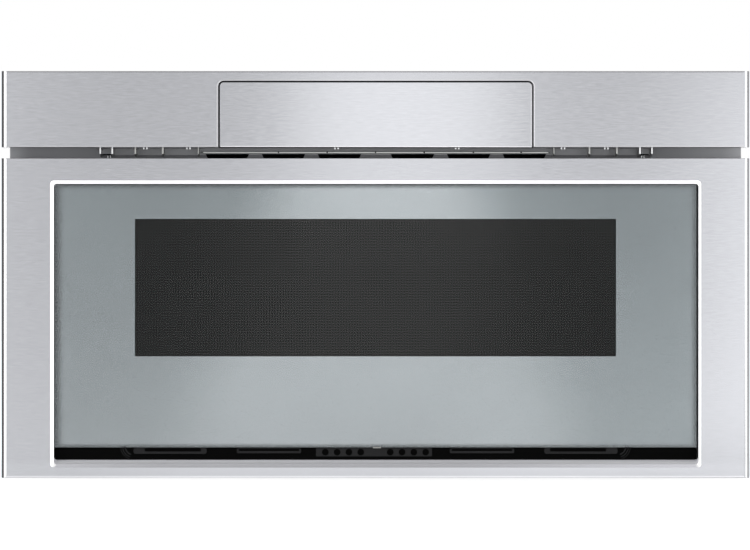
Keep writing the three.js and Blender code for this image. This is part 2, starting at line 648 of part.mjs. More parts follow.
function interlockSwitches(side) {
  const y0 = PANEL_FRONT;
  const body = block(mirrored(side, [308, 332]), [y0, y0 + 54], [194, 250]);
  const hookWay = block(mirrored(side, [HOOK.x[0] - 2, HOOK.x[1] + 2]), [y0 - 1, y0 + 34],
    [HOOK.z[0] - 3, HOOK.z[1] + 3]);
  const switches = slots(3, (i) => block(mirrored(side, [311, 329]), [y0 + 53, y0 + 66],
    [198 + 17 * i, 210 + 17 * i]));
  return cut(join(body, ...switches), hookWay);
}

function latchHook(side) {
  const y0 = DOOR_BACK + GAP;
  const [z0, z1] = HOOK.z;
  const outline = [
    [y0, z0 + 4], [y0 + 32, z0 + 4], [y0 + 36, z0 + 10], [y0 + 26, z0 + 14],
    [y0 + 26, z1 - 14], [y0 + 36, z1 - 10], [y0 + 32, z1 - 4], [y0, z1 - 4],
  ];
  return prism('x', outline, mirrored(side, HOOK.x));
}

// ---- Drawer front -------------------------------------------------------------------

const OPENING = { half: 331, top: 285.5, bottom: -6.3 }; // at the front plane
const PANE = { half: 326.6, top: 281.3, bottom: 13.8, front: FRONT + 4.5, thickness: 4 };
const BACKING_FRONT = PANE.front + PANE.thickness + 4; // light panel behind the glass
const BACKING_BACK = BACKING_FRONT + SHEET;
const STRIP_BOTTOM = 1.8; // black vent strip under the glass
const STRIP_FRONT = FRONT + 12;

// A tapering opening: one rectangle at the front, another further back.
function taper(front, back) {
  const corners = ({ half, bottom, top, y }) => [
    [-half, y, bottom], [half, y, bottom], [half, y, top], [-half, y, top],
  ];
  const geometry = new THREE.BufferGeometry();
  const points = [...corners(front), ...corners(back)].flat();
  geometry.setAttribute('position', new THREE.Float32BufferAttribute(points, 3));
  const sides = [0, 1, 2, 3].flatMap((i) => {
    const next = (i + 1) % 4;
    return [i, i + 4, next + 4, i, next + 4, next];
  });
  geometry.setIndex([0, 1, 2, 0, 2, 3, 4, 6, 5, 4, 7, 6, ...sides]);
  return solid(geometry);
}

function doorFrame() {
  const shell = frontShell(FRONT, DOOR_BACK, [DOOR_BOTTOM, DOOR_TOP]);
  const returns = join(
    block(both(OPENING.half + 2), [FRONT + 1, BACKING_BACK + 1],
      [OPENING.bottom - 2, OPENING.top + 2]),
    block(both(OPENING.half + 2), [FRONT + 1, STRIP_FRONT + 6], [OPENING.bottom - 2, STRIP_BOTTOM]),
  );
  const slope = (STRIP_BOTTOM - OPENING.bottom) / (STRIP_FRONT - FRONT);
  const paneBottom = OPENING.bottom + slope * (PANE.front - FRONT);
  const mouth = taper(
    {
      half: OPENING.half + 0.1,
      bottom: OPENING.bottom - 0.1 * slope,
      top: OPENING.top + 0.1,
      y: FRONT - 0.1,
    },
    { half: PANE.half, bottom: paneBottom, top: PANE.top, y: PANE.front },
  );
  const throat = taper(
    { half: PANE.half, bottom: paneBottom - 0.01, top: PANE.top, y: PANE.front - 0.01 },
    { half: PANE.half, bottom: STRIP_BOTTOM, top: PANE.top, y: STRIP_FRONT },
  );
  const rear = block(both(PANE.half), [STRIP_FRONT - 0.1, STRIP_FRONT + 8], [STRIP_BOTTOM, PANE.top]);
  return cut(join(shell, returns), mouth, throat, rear);
}

const doorGlass = () => block(both(PANE.half - 0.4), [PANE.front, PANE.front + PANE.thickness],
  [PANE.bottom, PANE.top - 0.4]);

const HOLE_PITCH = 12;

// The black moulding below the glass, with vent holes and long slots.
function lowerVentTrim() {
  const y0 = STRIP_FRONT + GAP;
  const y1 = y0 + 5;
  const middle = 7.9;
  const bar = block(both(PANE.half - 0.6), [y0, y1], [STRIP_BOTTOM + GAP, PANE.bottom - GAP]);
  const through = [y0 - 3, y1 + 1];
  const holes = [1.25, 2.25, 3.25, 4.25].flatMap((step) => [-1, 1].map((side) =>
    rod('y', side * HOLE_PITCH * step, middle + 0.4, 3.6, through, 12)));
  const slotsBesideThem = [-1, 1].flatMap((side) => [
    block(mirrored(side, [174, 232]), through, [8.4, 11.4]),
    block(mirrored(side, [80, 140]), [y0 - 1, y0 + 2], [6, 11]),
  ]);
  const bosses = [-1, 1].map((side) => rod('y', side * 255, middle, 4.2, [y0 - 2, y0 + 1], 16));
  return cut(join(bar, ...bosses), ...holes, ...slotsBesideThem);
}

// The light panel that shows through the glass round the dark window.
function glassBacking() {
  const panel = block(both(PANE.half - 0.4), [BACKING_FRONT, BACKING_BACK], [PANE.bottom, PANE.top - 0.4]);
  const window = block(both(WINDOW_HALF_WIDTH), [BACKING_FRONT - 1, BACKING_BACK + 1],
    [WINDOW_BOTTOM, WINDOW_TOP]);
  return cut(panel, window);
}

const SCREEN_OVERLAP = 8;
const SCREEN_BACK = BACKING_BACK + GAP + SHEET;

const perforatedScreen = () => block(both(WINDOW_HALF_WIDTH + SCREEN_OVERLAP),
  [BACKING_BACK + GAP, SCREEN_BACK], [WINDOW_BOTTOM - SCREEN_OVERLAP, WINDOW_TOP + SCREEN_OVERLAP]);

const CHOKE = { half: 296, bottom: 38, top: 299, front: SCREEN_BACK + GAP };

// A dished sheet behind the glass: the window's frame and the walls round the choke.
function chokeFrame() {
  const outer = block(both(CHOKE.half), [CHOKE.front, DOOR_BACK], [CHOKE.bottom, CHOKE.top]);
  const dish = block(both(CHOKE.half - SHEET), [CHOKE.front - 1, DOOR_BACK - SHEET],
    [CHOKE.bottom + SHEET, CHOKE.top - SHEET]);
  const window = block(both(WINDOW_HALF_WIDTH + 2), [DOOR_BACK - 3, DOOR_BACK + 1],
    [WINDOW_BOTTOM - 2, WINDOW_TOP + 2]);
  return cut(outer, dish, window);
}

function chokeCover() {
  const y0 = DOOR_BACK + GAP;
  const ring = block(both(CHOKE.half), [y0, y0 + 2], [CHOKE.bottom, CHOKE.top]);
  const inside = block(both(OVEN_HALF_WIDTH - 4), [y0 - 1, y0 + 3], [68, 280]);
  return cut(ring, inside);
}

function doorBackCover() {
  const inset = SHEET + GAP;
  const plate = block(both(HALF_FRONT - inset), [DOOR_BACK - SHEET, DOOR_BACK],
    [DOOR_BOTTOM + inset, DOOR_TOP - inset]);
  const hole = block(both(CHOKE.half + 0.5), [DOOR_BACK - 3, DOOR_BACK + 1],
    [CHOKE.bottom - 0.5, CHOKE.top + 0.5]);
  return cut(plate, hole);
}

// ---- Food drawer --------------------------------------------------------------------

const CERAMIC_TOP = TRAY_BOTTOM + SHEET + GAP + 5;
const TRAY_FRONT = DOOR_BACK + GAP;

function drawerTray() {
  const half = TRAY_HALF_WIDTH + SHEET;
  const outer = block(both(half), [TRAY_FRONT, TRAY_BACK + SHEET], [TRAY_BOTTOM, TRAY_RIM]);
  const rim = block(both(half + 5), [TRAY_FRONT + 4, TRAY_BACK + 6], [TRAY_RIM - SHEET, TRAY_RIM]);
  const room = block(both(TRAY_HALF_WIDTH), [TRAY_FRONT - 1, TRAY_BACK],
    [TRAY_BOTTOM + SHEET, TRAY_RIM + 1]);
  const floorHole = block(both(TRAY_HALF_WIDTH - 16), [TRAY_FRONT + 16, TRAY_BACK - 16],
    [TRAY_BOTTOM - 1, TRAY_BOTTOM + 3]);
  const airIn = slots(6, (i) => block([60, 100], [TRAY_BACK - 1, TRAY_BACK + 3], [200 + 9 * i, 203 + 9 * i]));
  return cut(join(outer, rim), room, floorHole, ...airIn);
}

const ceramicFloor = () => prism('z', roundedRectangle(both(TRAY_HALF_WIDTH - 0.5),
  [TRAY_FRONT + 0.5, TRAY_BACK - 0.5], 4), [TRAY_BOTTOM + SHEET + GAP, CERAMIC_TOP]);

function drawerArm(side) {
  const bottom = side < 0 ? 113 : RAIL_BOTTOM + 2;
  const top = 198;
  const plate = block(mirrored(side, ARM_X), [DOOR_BACK + GAP, 140], [bottom, top]);
  const foot = block(mirrored(side, [ARM_X[0], 372]), [DOOR_BACK + GAP, DOOR_BACK + GAP + SHEET],
    [bottom, top]);
  return join(plate, foot);
}

// ---- Control flap, in the fascia ----------------------------------------------------

const GLASS_START = { y: FRONT + 3, z: FLAP_TOP - 1 }; // front edge of the touch glass
const GLASS_END = { y: -296.5, z: 366.5 };

const FLAP_TILT = Math.atan2(GLASS_END.z - GLASS_START.z, GLASS_END.y - GLASS_START.y);

// A slab lying along the sloping touch glass, depth0 to depth1 under its face.
function underGlass(depth0, depth1, start, end, span) {
  const at = (share, depth) => [
    GLASS_START.y + share * (GLASS_END.y - GLASS_START.y) + depth * Math.sin(FLAP_TILT),
    GLASS_START.z + share * (GLASS_END.z - GLASS_START.z) - depth * Math.cos(FLAP_TILT),
  ];
  return prism('x', [at(start, depth1), at(end, depth1), at(end, depth0), at(start, depth0)], span);
}

function flapSkin() {
  const radius = 4;
  const half = FLAP_HALF_WIDTH;
  const bottom = FASCIA_BOTTOM + 0.2;
  const outline = [
    [half, bottom],
    ...arc(half - radius, FLAP_TOP - radius, radius, 0, 90, 3),
    ...arc(-half + radius, FLAP_TOP - radius, radius, 90, 180, 3),
    [-half, bottom],
  ];
  const face = prism('y', outline, [FRONT, FRONT + SHEET]);
  const returns = [-1, 1].map((side) => block(mirrored(side, [half - SHEET, half]),
    [FRONT + 0.5, FRONT + 6], [bottom, FLAP_TOP - radius]));
  return join(face, ...returns);
}

function flapHolder() {
  const { y, z } = FLAP_AXIS;
  const front = FRONT + SHEET + GAP;
  const cheek = [[front, 321.5], [y + 4, 321.5], [y + 28, z + 10], [GLASS_END.y - 1.5, GLASS_END.z - 5.5],
    [front, GLASS_START.z - 5.5]];
  const cheeks = [-1, 1].map((side) => prism('x', cheek, mirrored(side, [146, 150])));
  const face = block(both(150), [front, front + 2], [321.5, GLASS_START.z - 6.5]);
  const rear = prism('x', [[y + 26, z + 10], [y + 28, z + 10], [GLASS_END.y - 1.6, GLASS_END.z - 6],
    [GLASS_END.y - 3.6, GLASS_END.z - 6]], both(147));
  const pins = [-1, 1].map((side) => rod('x', y, z, 3, mirrored(side, [149, 167]), 12));
  const ribs = [-70, 0, 70].map((x) => block([x - 1, x + 1], [front + 1, y + 26], [324, z + 12]));
  const beam = block(both(147), [y + 20, y + 26.5], [z + 6, z + 12]);
  return join(face, rear, beam, ...cheeks, ...pins, ...ribs);
}

const touchGlass = () => underGlass(0, 3, 0, 1, both(150));
const keyBoard = () => underGlass(3.3, 4.9, 0.08, 0.92, both(138));

const SECTOR_RADIUS = FLAP_GEAR.module * FLAP_GEAR.teeth / 2;
const FLAP_PINION_RADIUS = FLAP_GEAR.module * FLAP_GEAR.pinionTeeth / 2;
const FLAP_GEAR_DISTANCE = SECTOR_RADIUS + FLAP_PINION_RADIUS + 0.4;
const FLAP_PINION_AXIS = {
  y: FLAP_AXIS.y + FLAP_GEAR_DISTANCE * Math.cos(radians(FLAP_PINION_ANGLE)),
  z: FLAP_AXIS.z + FLAP_GEAR_DISTANCE * Math.sin(radians(FLAP_PINION_ANGLE)),
};

function flapSector() {
  const step = 360 / FLAP_GEAR.teeth;
  const count = 7;
  // A tooth stands on the line between the two axes when the flap is shut.
  const start = FLAP_PINION_ANGLE - step * (count - 1);
  const teeth = gearOutline(FLAP_GEAR.module, FLAP_GEAR.teeth, { count, startDegrees: start });
  const inner = arc(0, 0, 20, FLAP_PINION_ANGLE + 4, start - 4, 6);
  return prism('x', moved([...teeth, ...inner], FLAP_AXIS.y, FLAP_AXIS.z), [150.3, 155]);
}

// Drawn about its own axis, along X, with a gap towards the sector's top tooth.
function flapPinion() {
  const halfStep = 180 / FLAP_GEAR.pinionTeeth;
  const gear = prism('x', gearOutline(FLAP_GEAR.module, FLAP_GEAR.pinionTeeth,
    { startDegrees: FLAP_PINION_ANGLE + 180 + halfStep }), [150.6, 154.7]);
  const shaft = rod('x', 0, 0, 2, [150.6, 163.7], 10);
  return join(gear, shaft);
}

function flapBearing(side) {
  const { y, z } = FLAP_AXIS;
  const span = mirrored(side, [161.5, 168]);
  const back = FLANGE_FACE - GAP;
  const bush = block(span, [y - 6, y + 6], [FASCIA_BOTTOM + SHEET + GAP, z + 6]);
  const arm = block(span, [y + 5, back], [FASCIA_BOTTOM + SHEET + GAP + 1.5, z + 2]);
  const foot = block(mirrored(side, [161.5, 178]), [back - 2, back], [FASCIA_BOTTOM + 4.8, 346]);
  const pinHole = rod('x', y, z, 3.4, mirrored(side, [160, 169]), 12);
  if (side < 0) {
    return cut(join(bush, arm, foot), pinHole);
  }
  const plate = block([161.5, 163.3], [FLAP_PINION_AXIS.y - 9, back], [z, FLAP_PINION_AXIS.z + 10]);
  const shaftHole = rod('x', FLAP_PINION_AXIS.y, FLAP_PINION_AXIS.z, 2.5, [160, 165], 10);
  return cut(join(bush, arm, foot, plate), pinHole, shaftHole);
}

function flapMotor() {
  const { y, z } = FLAP_PINION_AXIS;
  const can = rod('x', y, z, 10.5, [164, 205], 16);
  const boss = rod('x', y, z, 5, [204, 208], 12);
  return join(can, boss);
}

// ---- The whole drawer ---------------------------------------------------------------

// Parts drawn about their own axis are put on it.
function placeOnAxis(name, body, finish, x, y, z) {
  const mount = new THREE.Group();
  mount.position.set(x, y, z);
  model.add(mount);
  place(name, body, finish, mount);
}

place('base_pan', basePan(), 'zincSteel');
place('top_cover', topCover(), 'zincSteel');
place('rear_panel', rearPanel(), 'zincSteel');
place('power_inlet', powerInlet(), 'blackPlastic');
place('front_flange', frontFlange(), 'darkPaint');
place('upper_fascia', upperFascia(), 'brushedSteel');
place('vent_trim', ventTrim(), 'darkPaint');

place('oven_cavity', ovenCavity(), 'ovenEnamel');
place('cavity_front_plate', cavityFrontPlate(), 'ovenEnamel');
place('antenna_cover', antennaCover(), 'ceramic');
place('waveguide', waveguide(), 'zincSteel');
place('antenna_motor', antennaMotor(), 'zincSteel');
placeOnAxis('antenna', antenna(), 'zincSteel', 0, ANTENNA_Y, 0);
place('magnetron', magnetron(), 'zincSteel');
place('hv_transformer', hvTransformer(), 'core');
place('hv_capacitor', hvCapacitor(), 'zincSteel');
place('blower_housing', blowerHousing(), 'whitePlastic');
placeOnAxis('blower_wheel', blowerWheel(), 'blackPlastic', BLOWER.x, 0, BLOWER.z);
place('blower_motor', blowerMotor(), 'core');
place('exhaust_duct', exhaustDuct(), 'zincSteel');
place('oven_lamp', ovenLamp(), 'zincSteel');
place('power_board', powerBoard(), 'board');

place('drawer_motor', drawerMotor(), 'core');
placeOnAxis('drive_pinion', drivePinion(), 'whitePlastic', 0, PINION.y, PINION_Z);
place('drive_rack', driveRack(), 'whitePlastic');

for (const [word, side] of Object.entries(SIDES)) {
  place(`${word}_side_panel`, sidePanel(side), 'zincSteel');
  place(`air_guide_${word}`, airGuide(side), 'zincSteel');
  place(`outer_rail_${word}`, outerRail(side), 'zincSteel');
  place(`middle_rail_${word}`, middleRail(side), 'zincSteel');
  place(`inner_rail_${word}`, innerRail(side), 'zincSteel');
  place(`drawer_arm_${word}`, drawerArm(side), 'zincSteel');
  place(`interlock_switch_${word}`, interlockSwitches(side), 'blackPlastic');
  place(`latch_hook_${word}`, latchHook(side), 'whitePlastic');
  place(`flap_bearing_${word}`, flapBearing(side), 'zincSteel');
}

place('door_frame', doorFrame(), 'brushedSteel');
place('door_glass', doorGlass(), 'glass');
place('glass_backing', glassBacking(), 'silverPaint');
place('lower_vent_trim', lowerVentTrim(), 'blackPlastic');
place('choke_frame', chokeFrame(), 'ovenEnamel');
place('perforated_screen', perforatedScreen(), 'screen');
place('choke_cover', chokeCover(), 'blackPlastic');
place('door_back_cover', doorBackCover(), 'zincSteel');
place('drawer_tray', drawerTray(), 'ovenEnamel');
place('ceramic_floor', ceramicFloor(), 'ceramic');

place('flap_skin', flapSkin(), 'brushedSteel');
place('flap_holder', flapHolder(), 'blackPlastic');
place('touch_glass', touchGlass(), 'blackPlastic');
place('key_board', keyBoard(), 'board');
place('flap_sector', flapSector(), 'whitePlastic');
placeOnAxis('flap_pinion', flapPinion(), 'whitePlastic', 0, FLAP_PINION_AXIS.y, FLAP_PINION_AXIS.z);
place('flap_motor', flapMotor(), 'core');

export default model;
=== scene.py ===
# %% [markdown]
# # A built-in microwave drawer
# The drawer front, the fascia with its control flap and the dark gap between them are what a
# kitchen shows. Behind them a steel box holds the oven. The CAD model gives every piece its
# place, so this lesson adds finishes, soft edges and the small parts that a CAD model leaves out.

# %% Load the frame
import bpy
import bmesh
import json
import math
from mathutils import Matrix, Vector

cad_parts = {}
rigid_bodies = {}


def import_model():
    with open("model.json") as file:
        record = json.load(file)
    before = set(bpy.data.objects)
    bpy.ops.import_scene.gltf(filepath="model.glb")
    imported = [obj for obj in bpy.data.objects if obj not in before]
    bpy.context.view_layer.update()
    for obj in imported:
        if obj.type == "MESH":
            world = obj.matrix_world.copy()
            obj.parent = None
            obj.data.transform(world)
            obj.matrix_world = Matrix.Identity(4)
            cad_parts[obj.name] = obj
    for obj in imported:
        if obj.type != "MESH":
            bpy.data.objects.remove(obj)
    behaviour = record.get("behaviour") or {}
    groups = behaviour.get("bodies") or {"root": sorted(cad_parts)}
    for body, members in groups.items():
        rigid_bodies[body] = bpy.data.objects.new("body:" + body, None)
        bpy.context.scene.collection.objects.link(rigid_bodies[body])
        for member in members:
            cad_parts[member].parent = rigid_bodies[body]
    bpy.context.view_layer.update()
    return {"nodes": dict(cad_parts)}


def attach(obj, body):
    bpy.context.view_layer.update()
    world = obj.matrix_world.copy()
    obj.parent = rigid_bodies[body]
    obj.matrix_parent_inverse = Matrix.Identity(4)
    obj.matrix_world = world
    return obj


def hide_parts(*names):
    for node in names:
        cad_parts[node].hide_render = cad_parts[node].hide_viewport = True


for leftover in list(bpy.data.objects):
    bpy.data.objects.remove(leftover)
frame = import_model()
nodes = frame["nodes"]

# %% [markdown]
# ## Camera
# The photo looks straight at the front from far off, so the sides don't show. A long lens six
# metres away gives the same view. The lens is worked out from the width that fills the picture.

# %% Camera
PICTURE_WIDTH = 0.7608  # metres across the picture at the steel fronts
FRONT = -0.343
DISTANCE = 6.0
camera_data = bpy.data.cameras.new("camera")
camera_data.sensor_width = 36
camera_data.lens = 36 * DISTANCE / PICTURE_WIDTH
camera = bpy.data.objects.new("camera", camera_data)
bpy.context.scene.collection.objects.link(camera)
camera.location = (-0.0005, FRONT - DISTANCE, 0.189)
camera.rotation_euler = (math.radians(90), 0, 0)
bpy.context.scene.camera = camera
bpy.context.scene.view_settings.view_transform = "Standard"
print("lens", round(camera_data.lens, 1), "mm")

# %% [markdown]
# ## Writing shaders as sums
# A finish is a small network of nodes. Wiring it by hand is long and hard to read, so a `Wire`
# wraps one socket and lets Python's own operators add the Math nodes. `Finish` holds a material,
# or the world, and has one method that adds any node: its settings, then what goes into it.

# %% Wire
class Wire:
    def __init__(self, finish, socket):
        self.finish = finish
        self.socket = socket

    def sum(self, operation, *values):
        return self.finish.node("Math", {"operation": operation}, dict(enumerate(values)))

    def __add__(self, other):
        return self.sum("ADD", self, other)

    def __sub__(self, other):
        return self.sum("SUBTRACT", self, other)

    def __rsub__(self, other):
        return self.sum("SUBTRACT", other, self)

    def __mul__(self, other):
        return self.sum("MULTIPLY", self, other)

    def __gt__(self, other):
        return self.sum("GREATER_THAN", self, other)

    def __lt__(self, other):
        return self.sum("LESS_THAN", self, other)

    def absolute(self):
        return self.sum("ABSOLUTE", self)

    def repeat(self, period):
        return self.sum("MODULO", self + 1000 * period, period)

    __radd__ = __add__
    __rmul__ = __mul__


# %% Finish
class Finish:
    def __init__(self, name, kind="materials", shader="Principled BSDF"):
        self.block = getattr(bpy.data, kind).new(name)
        self.block.use_nodes = True
        self.tree = self.block.node_tree
        self.shader = self.tree.nodes[shader]

    def node(self, kind, settings=None, inputs=None, output=0):
        made = self.tree.nodes.new("ShaderNode" + kind)
        for name, value in (settings or {}).items():
            setattr(made, name, value)
        for name, value in (inputs or {}).items():
            self.feed(made.inputs[name], value)
        return Wire(self, made.outputs[output])

    def feed(self, socket, value):
        if isinstance(value, Wire):
            self.tree.links.new(value.socket, socket)
        elif socket.type == "RGBA":
            socket.default_value = (*value, 1)
        else:
            socket.default_value = value

    def surface(self, **values):
        for name, value in values.items():
            title = name.replace("_", " ").title().replace("Ior", "IOR")
            self.feed(self.shader.inputs[title], value)
        return self.block


# %% [markdown]
# ## Helpers that most finishes share
# Patterns are placed by object coordinates in metres, so a brushed line has its real width.
# Stretching the coordinates before a noise texture turns its blobs into streaks.

# %% Pattern helpers
def where(finish):
    return finish.node("TexCoord", output="Object")


def split(finish, vector=None):
    parts = finish.node("SeparateXYZ", None, {0: vector or where(finish)})
    return [Wire(finish, parts.socket.node.outputs[i]) for i in range(3)]


def noise(finish, scale, detail=2, roughness=0.5):
    stretched = finish.node("VectorMath", {"operation": "MULTIPLY"}, {0: where(finish), 1: scale})
    return finish.node("TexNoise", None,
                       {"Vector": stretched, "Scale": 1, "Detail": detail, "Roughness": roughness})


def blend(factor, first, second):
    """Gives the first colour where the factor is 0, and the second where it is 1."""
    mixed = factor.finish.node("Mix", {"data_type": "RGBA"}, {"Factor": factor}).socket.node
    factor.finish.feed(mixed.inputs[6], first)
    factor.finish.feed(mixed.inputs[7], second)
    return Wire(factor.finish, mixed.outputs[2])


def bump(height, depth, strength):
    return height.finish.node("Bump", None, {"Strength": strength, "Distance": depth, "Height": height})


def ramp(value, full):
    """Rises smoothly from 0 to 1 while the value goes from 0 to full."""
    smooth = {"interpolation_type": "SMOOTHSTEP"}
    return value.finish.node("MapRange", smooth, {"Value": value, "From Max": full})


def grey(value):
    return (value, value, value)


def shown(red, green, blue):
    """A colour as a picture stores it, 0 to 255, turned into the linear light that shaders use."""
    return tuple(((c / 255 + 0.055) / 1.055) ** 2.4 for c in (red, green, blue))


print("steel in the photo, as linear light", [round(c, 3) for c in shown(190, 191, 195)])

# %% [markdown]
# ## Finishes of the front
# Brushed stainless steel is metal with long fine scratches. They change the colour and roughness
# a little and give a faint bump. The edges wear lighter and darker copies of the steel, which are
# painted light and shade: the bevels get a painted highlight, and the far side of each rolled edge
# is darker, a painted reflection of a dark room. The face is painted lighter near its bottom, a
# painted reflection of the bright floor.

# %% Brushed steel
FINE_LINES = (90, 90, 950)  # noise cycles in a metre along x, y and z
WIDE_LINES = (30, 30, 500)


def brushed_steel(name, colour, along=FINE_LINES, rough=0.2):
    finish = Finish(name)
    lines = noise(finish, along, 3, 0.65)
    clouds = noise(finish, (5, 5, 7), 2)
    dull, bright, painted_low_light = (tuple(min(c * share, 1) for c in colour) for share in (0.86, 1.14, 1.34))
    x, _, z = split(finish)
    towards_ends = ramp(x.absolute() - 0.2, 0.17)
    # Painted reflection: the face is lighter near its bottom, where the bright floor would show in it, and
    # less so towards its ends.
    low = ramp(0.004 - z, 0.012) * (0.54 - towards_ends * 0.3)
    light = blend(low, blend(lines, dull, bright), painted_low_light)
    return finish.surface(
        base_color=blend(clouds * 0.2, light, tuple(c * 0.9 for c in colour)),
        metallic=1.0,
        roughness=lines * 0.1 + rough,
        normal=bump(lines, 0.00001, 0.2),
    )


brushed_front = brushed_steel("brushed_front", shown(168, 169, 173))
flap_face = brushed_steel("flap_face", shown(174, 175, 179), rough=0.15)
# The next six are lighter and darker copies of the steel for the edges: painted highlights and painted
# shade.
painted_highlight_edge = brushed_steel("painted_highlight_edge", grey(0.84), WIDE_LINES, 0.14)
painted_dark_left_edge = brushed_steel("painted_dark_left_edge", shown(68, 68, 71), WIDE_LINES, 0.3)
painted_dark_right_edge = brushed_steel("painted_dark_right_edge", shown(150, 150, 153), WIDE_LINES, 0.3)
painted_light_edge = brushed_steel("painted_light_edge", shown(200, 200, 203), WIDE_LINES)
painted_light_rim = brushed_steel("painted_light_rim", shown(178, 178, 181), WIDE_LINES)
painted_shade_top_edge = brushed_steel("painted_shade_top_edge", shown(130, 130, 133), WIDE_LINES, 0.3)
print("brushed steel and six edges")

# %% [markdown]
# Under the glass the frame slopes down to the front. The slope faces up and catches the light of
# the room, so it looks almost white, and its colour is painted almost white as well. A shiny
# metal would mirror one small part of the room there. This finish is nearly dull instead, and
# ramps paint light on it along the slope and up it, where the glass above would shade it.

# %% Satin slope under the glass
def satin_steel():
    """Painted light: paler towards both ends and towards its upper edge, and nearly white above the slope.
    """
    finish = Finish("satin_steel")
    lines = noise(finish, (14, 14, 900), 3, 0.65)
    x, _, z = split(finish)
    ends = ramp(x - 0.04, 0.3) + ramp(0 - x - 0.2, 0.15) * 0.42
    upper = blend(ends, shown(229, 229, 233), shown(252, 252, 255))
    lower = blend(ends, shown(174, 174, 178), shown(214, 214, 220))
    slope = blend(ramp(z + 0.0050, 0.0045), lower, upper)
    # Painted light: the flat above the slope is nearly white.
    light = blend(z > -0.0007, slope, shown(249, 249, 255))
    return finish.surface(
        base_color=blend(lines * 0.1, light, shown(176, 176, 180)),
        metallic=0.15,
        roughness=lines * 0.1 + 0.5,
        specular_ior_level=0.3,
    )


STEELS = [brushed_front, painted_highlight_edge, painted_dark_left_edge, painted_dark_right_edge, satin_steel(), painted_light_rim, painted_shade_top_edge, painted_light_edge]
FACE, PAINTED_HIGHLIGHT, PAINTED_DARK_LEFT, PAINTED_DARK_RIGHT, SATIN, RIM, PAINTED_SHADE_TOP, PAINTED_LIGHT = range(len(STEELS))
print(len(STEELS), "steels on the fronts")

# %% [markdown]
# The glass is a tinted pane. It lets most of the silver paint behind it show, so it has a low
# alpha instead of real refraction, which also lets the model be exported as it looks.

# %% Door glass
def pane(name, colour, alpha, gloss=0.04, shine=0.5):
    finish = Finish(name)
    film = noise(finish, (6, 6, 9), 2)
    return finish.surface(
        base_color=blend(film, colour, tuple(c * 0.9 for c in colour)),
        roughness=film * 0.03 + gloss,
        alpha=film * 0.04 + alpha,
        specular_ior_level=shine,
    )


door_glass = pane("door_glass", shown(30, 40, 40), 0.07, shine=0.3)
touch_glass = pane("touch_glass", shown(14, 15, 18), 0.94)
print("two panes of glass made")

# %% [markdown]
# Behind the pane lies a panel painted silver, all round the window. Such paint holds fine flakes
# of metal, which blur what it mirrors. A metallic colour with a very fine noise gives the flakes.
# Smooth ramps across the panel paint light and shade on it: the darker border is painted shade
# where the recess of the frame shades the edges, the light band in its middle is a painted
# reflection, and the panel is painted darker upwards and towards the right.

# %% Silver paint behind the glass
GLASS = {"half": 0.3262, "bottom": 0.0138, "top": 0.2809}


def silver_paint():
    """Painted shade in a narrow border, and a painted reflection in a light band in the middle that narrows
    upwards. The rest is painted darker upwards and towards the right.
    """
    finish = Finish("silver_paint")
    half, bottom, top = GLASS.values()
    flakes = noise(finish, (1400, 1400, 1400), 1)
    x, _, z = split(finish)
    # Painted shade: a darker border where the recess of the frame shades the panel.
    clear_of_painted_shade = ramp(x + half, 0.011) * ramp(half - x, 0.007)
    clear_of_painted_shade = clear_of_painted_shade * ramp(top - z, 0.0055) * ramp(z - bottom, 0.005)
    up = finish.node("MapRange", None, {"Value": z, "From Min": bottom, "From Max": top})
    middle = 1 - ramp(x.absolute() - 0.15 + up * 0.1, 0.1)
    # Painted shade: darker upwards and towards the right.
    even = blend(flakes * 0.1 + up * 0.7, shown(158, 164, 167), shown(138, 146, 149))
    right = blend(up, shown(145, 152, 155), shown(132, 139, 142))
    paint = blend(ramp(x - 0.04, 0.3), even, right)
    # Painted reflection: a light band in the middle.
    mirror = blend(middle * (up * 0.15 + 0.15), paint, shown(228, 233, 236))
    return finish.surface(
        base_color=blend(clear_of_painted_shade, shown(106, 110, 112), mirror),
        metallic=0.9,
        roughness=flakes * 0.02 + 0.26,
    )


silver = silver_paint()
print("silver paint made")

# %% [markdown]
# The window screen is black sheet with thousands of round holes. Modelling each hole would need
# far too many faces, so two repeating distances give a grid of dark dots.

# %% Window screen
WINDOW = {"half": 0.2434, "bottom": 0.1058, "top": 0.2461}


def window_screen(pitch=0.0028):
    finish = Finish("window_screen")
    half, bottom, top = WINDOW.values()
    x, _, z = split(finish)
    across = x.repeat(pitch) - pitch / 2
    up = z.repeat(pitch) - pitch / 2
    away = finish.node("Math", {"operation": "SQRT"}, {0: across * across + up * up})
    rim = away > pitch * 0.3
    border = (x.absolute() > half) + (z > top) + (z < bottom)
    # Painted highlight: the sheet is lighter in the middle, like the light band on the silver panel round
    # it.
    middle = 1 - ramp(x.absolute() - 0.03, 0.2)
    metal = blend(middle, shown(41, 40, 40), shown(63, 62, 62))
    holes = blend(rim, shown(10, 10, 10), metal)
    return finish.surface(
        base_color=blend(border, holes, shown(14, 14, 15)),
        roughness=0.6 - rim * 0.12,
        specular_ior_level=0.12,
    )


screen = window_screen()
print("window screen made")

# %% [markdown]
# ## Finishes of the box and of what it holds
# Galvanised sheet shows zinc crystals: flat patches, each a slightly different grey. A Voronoi
# texture's cells are the usual way to draw them.

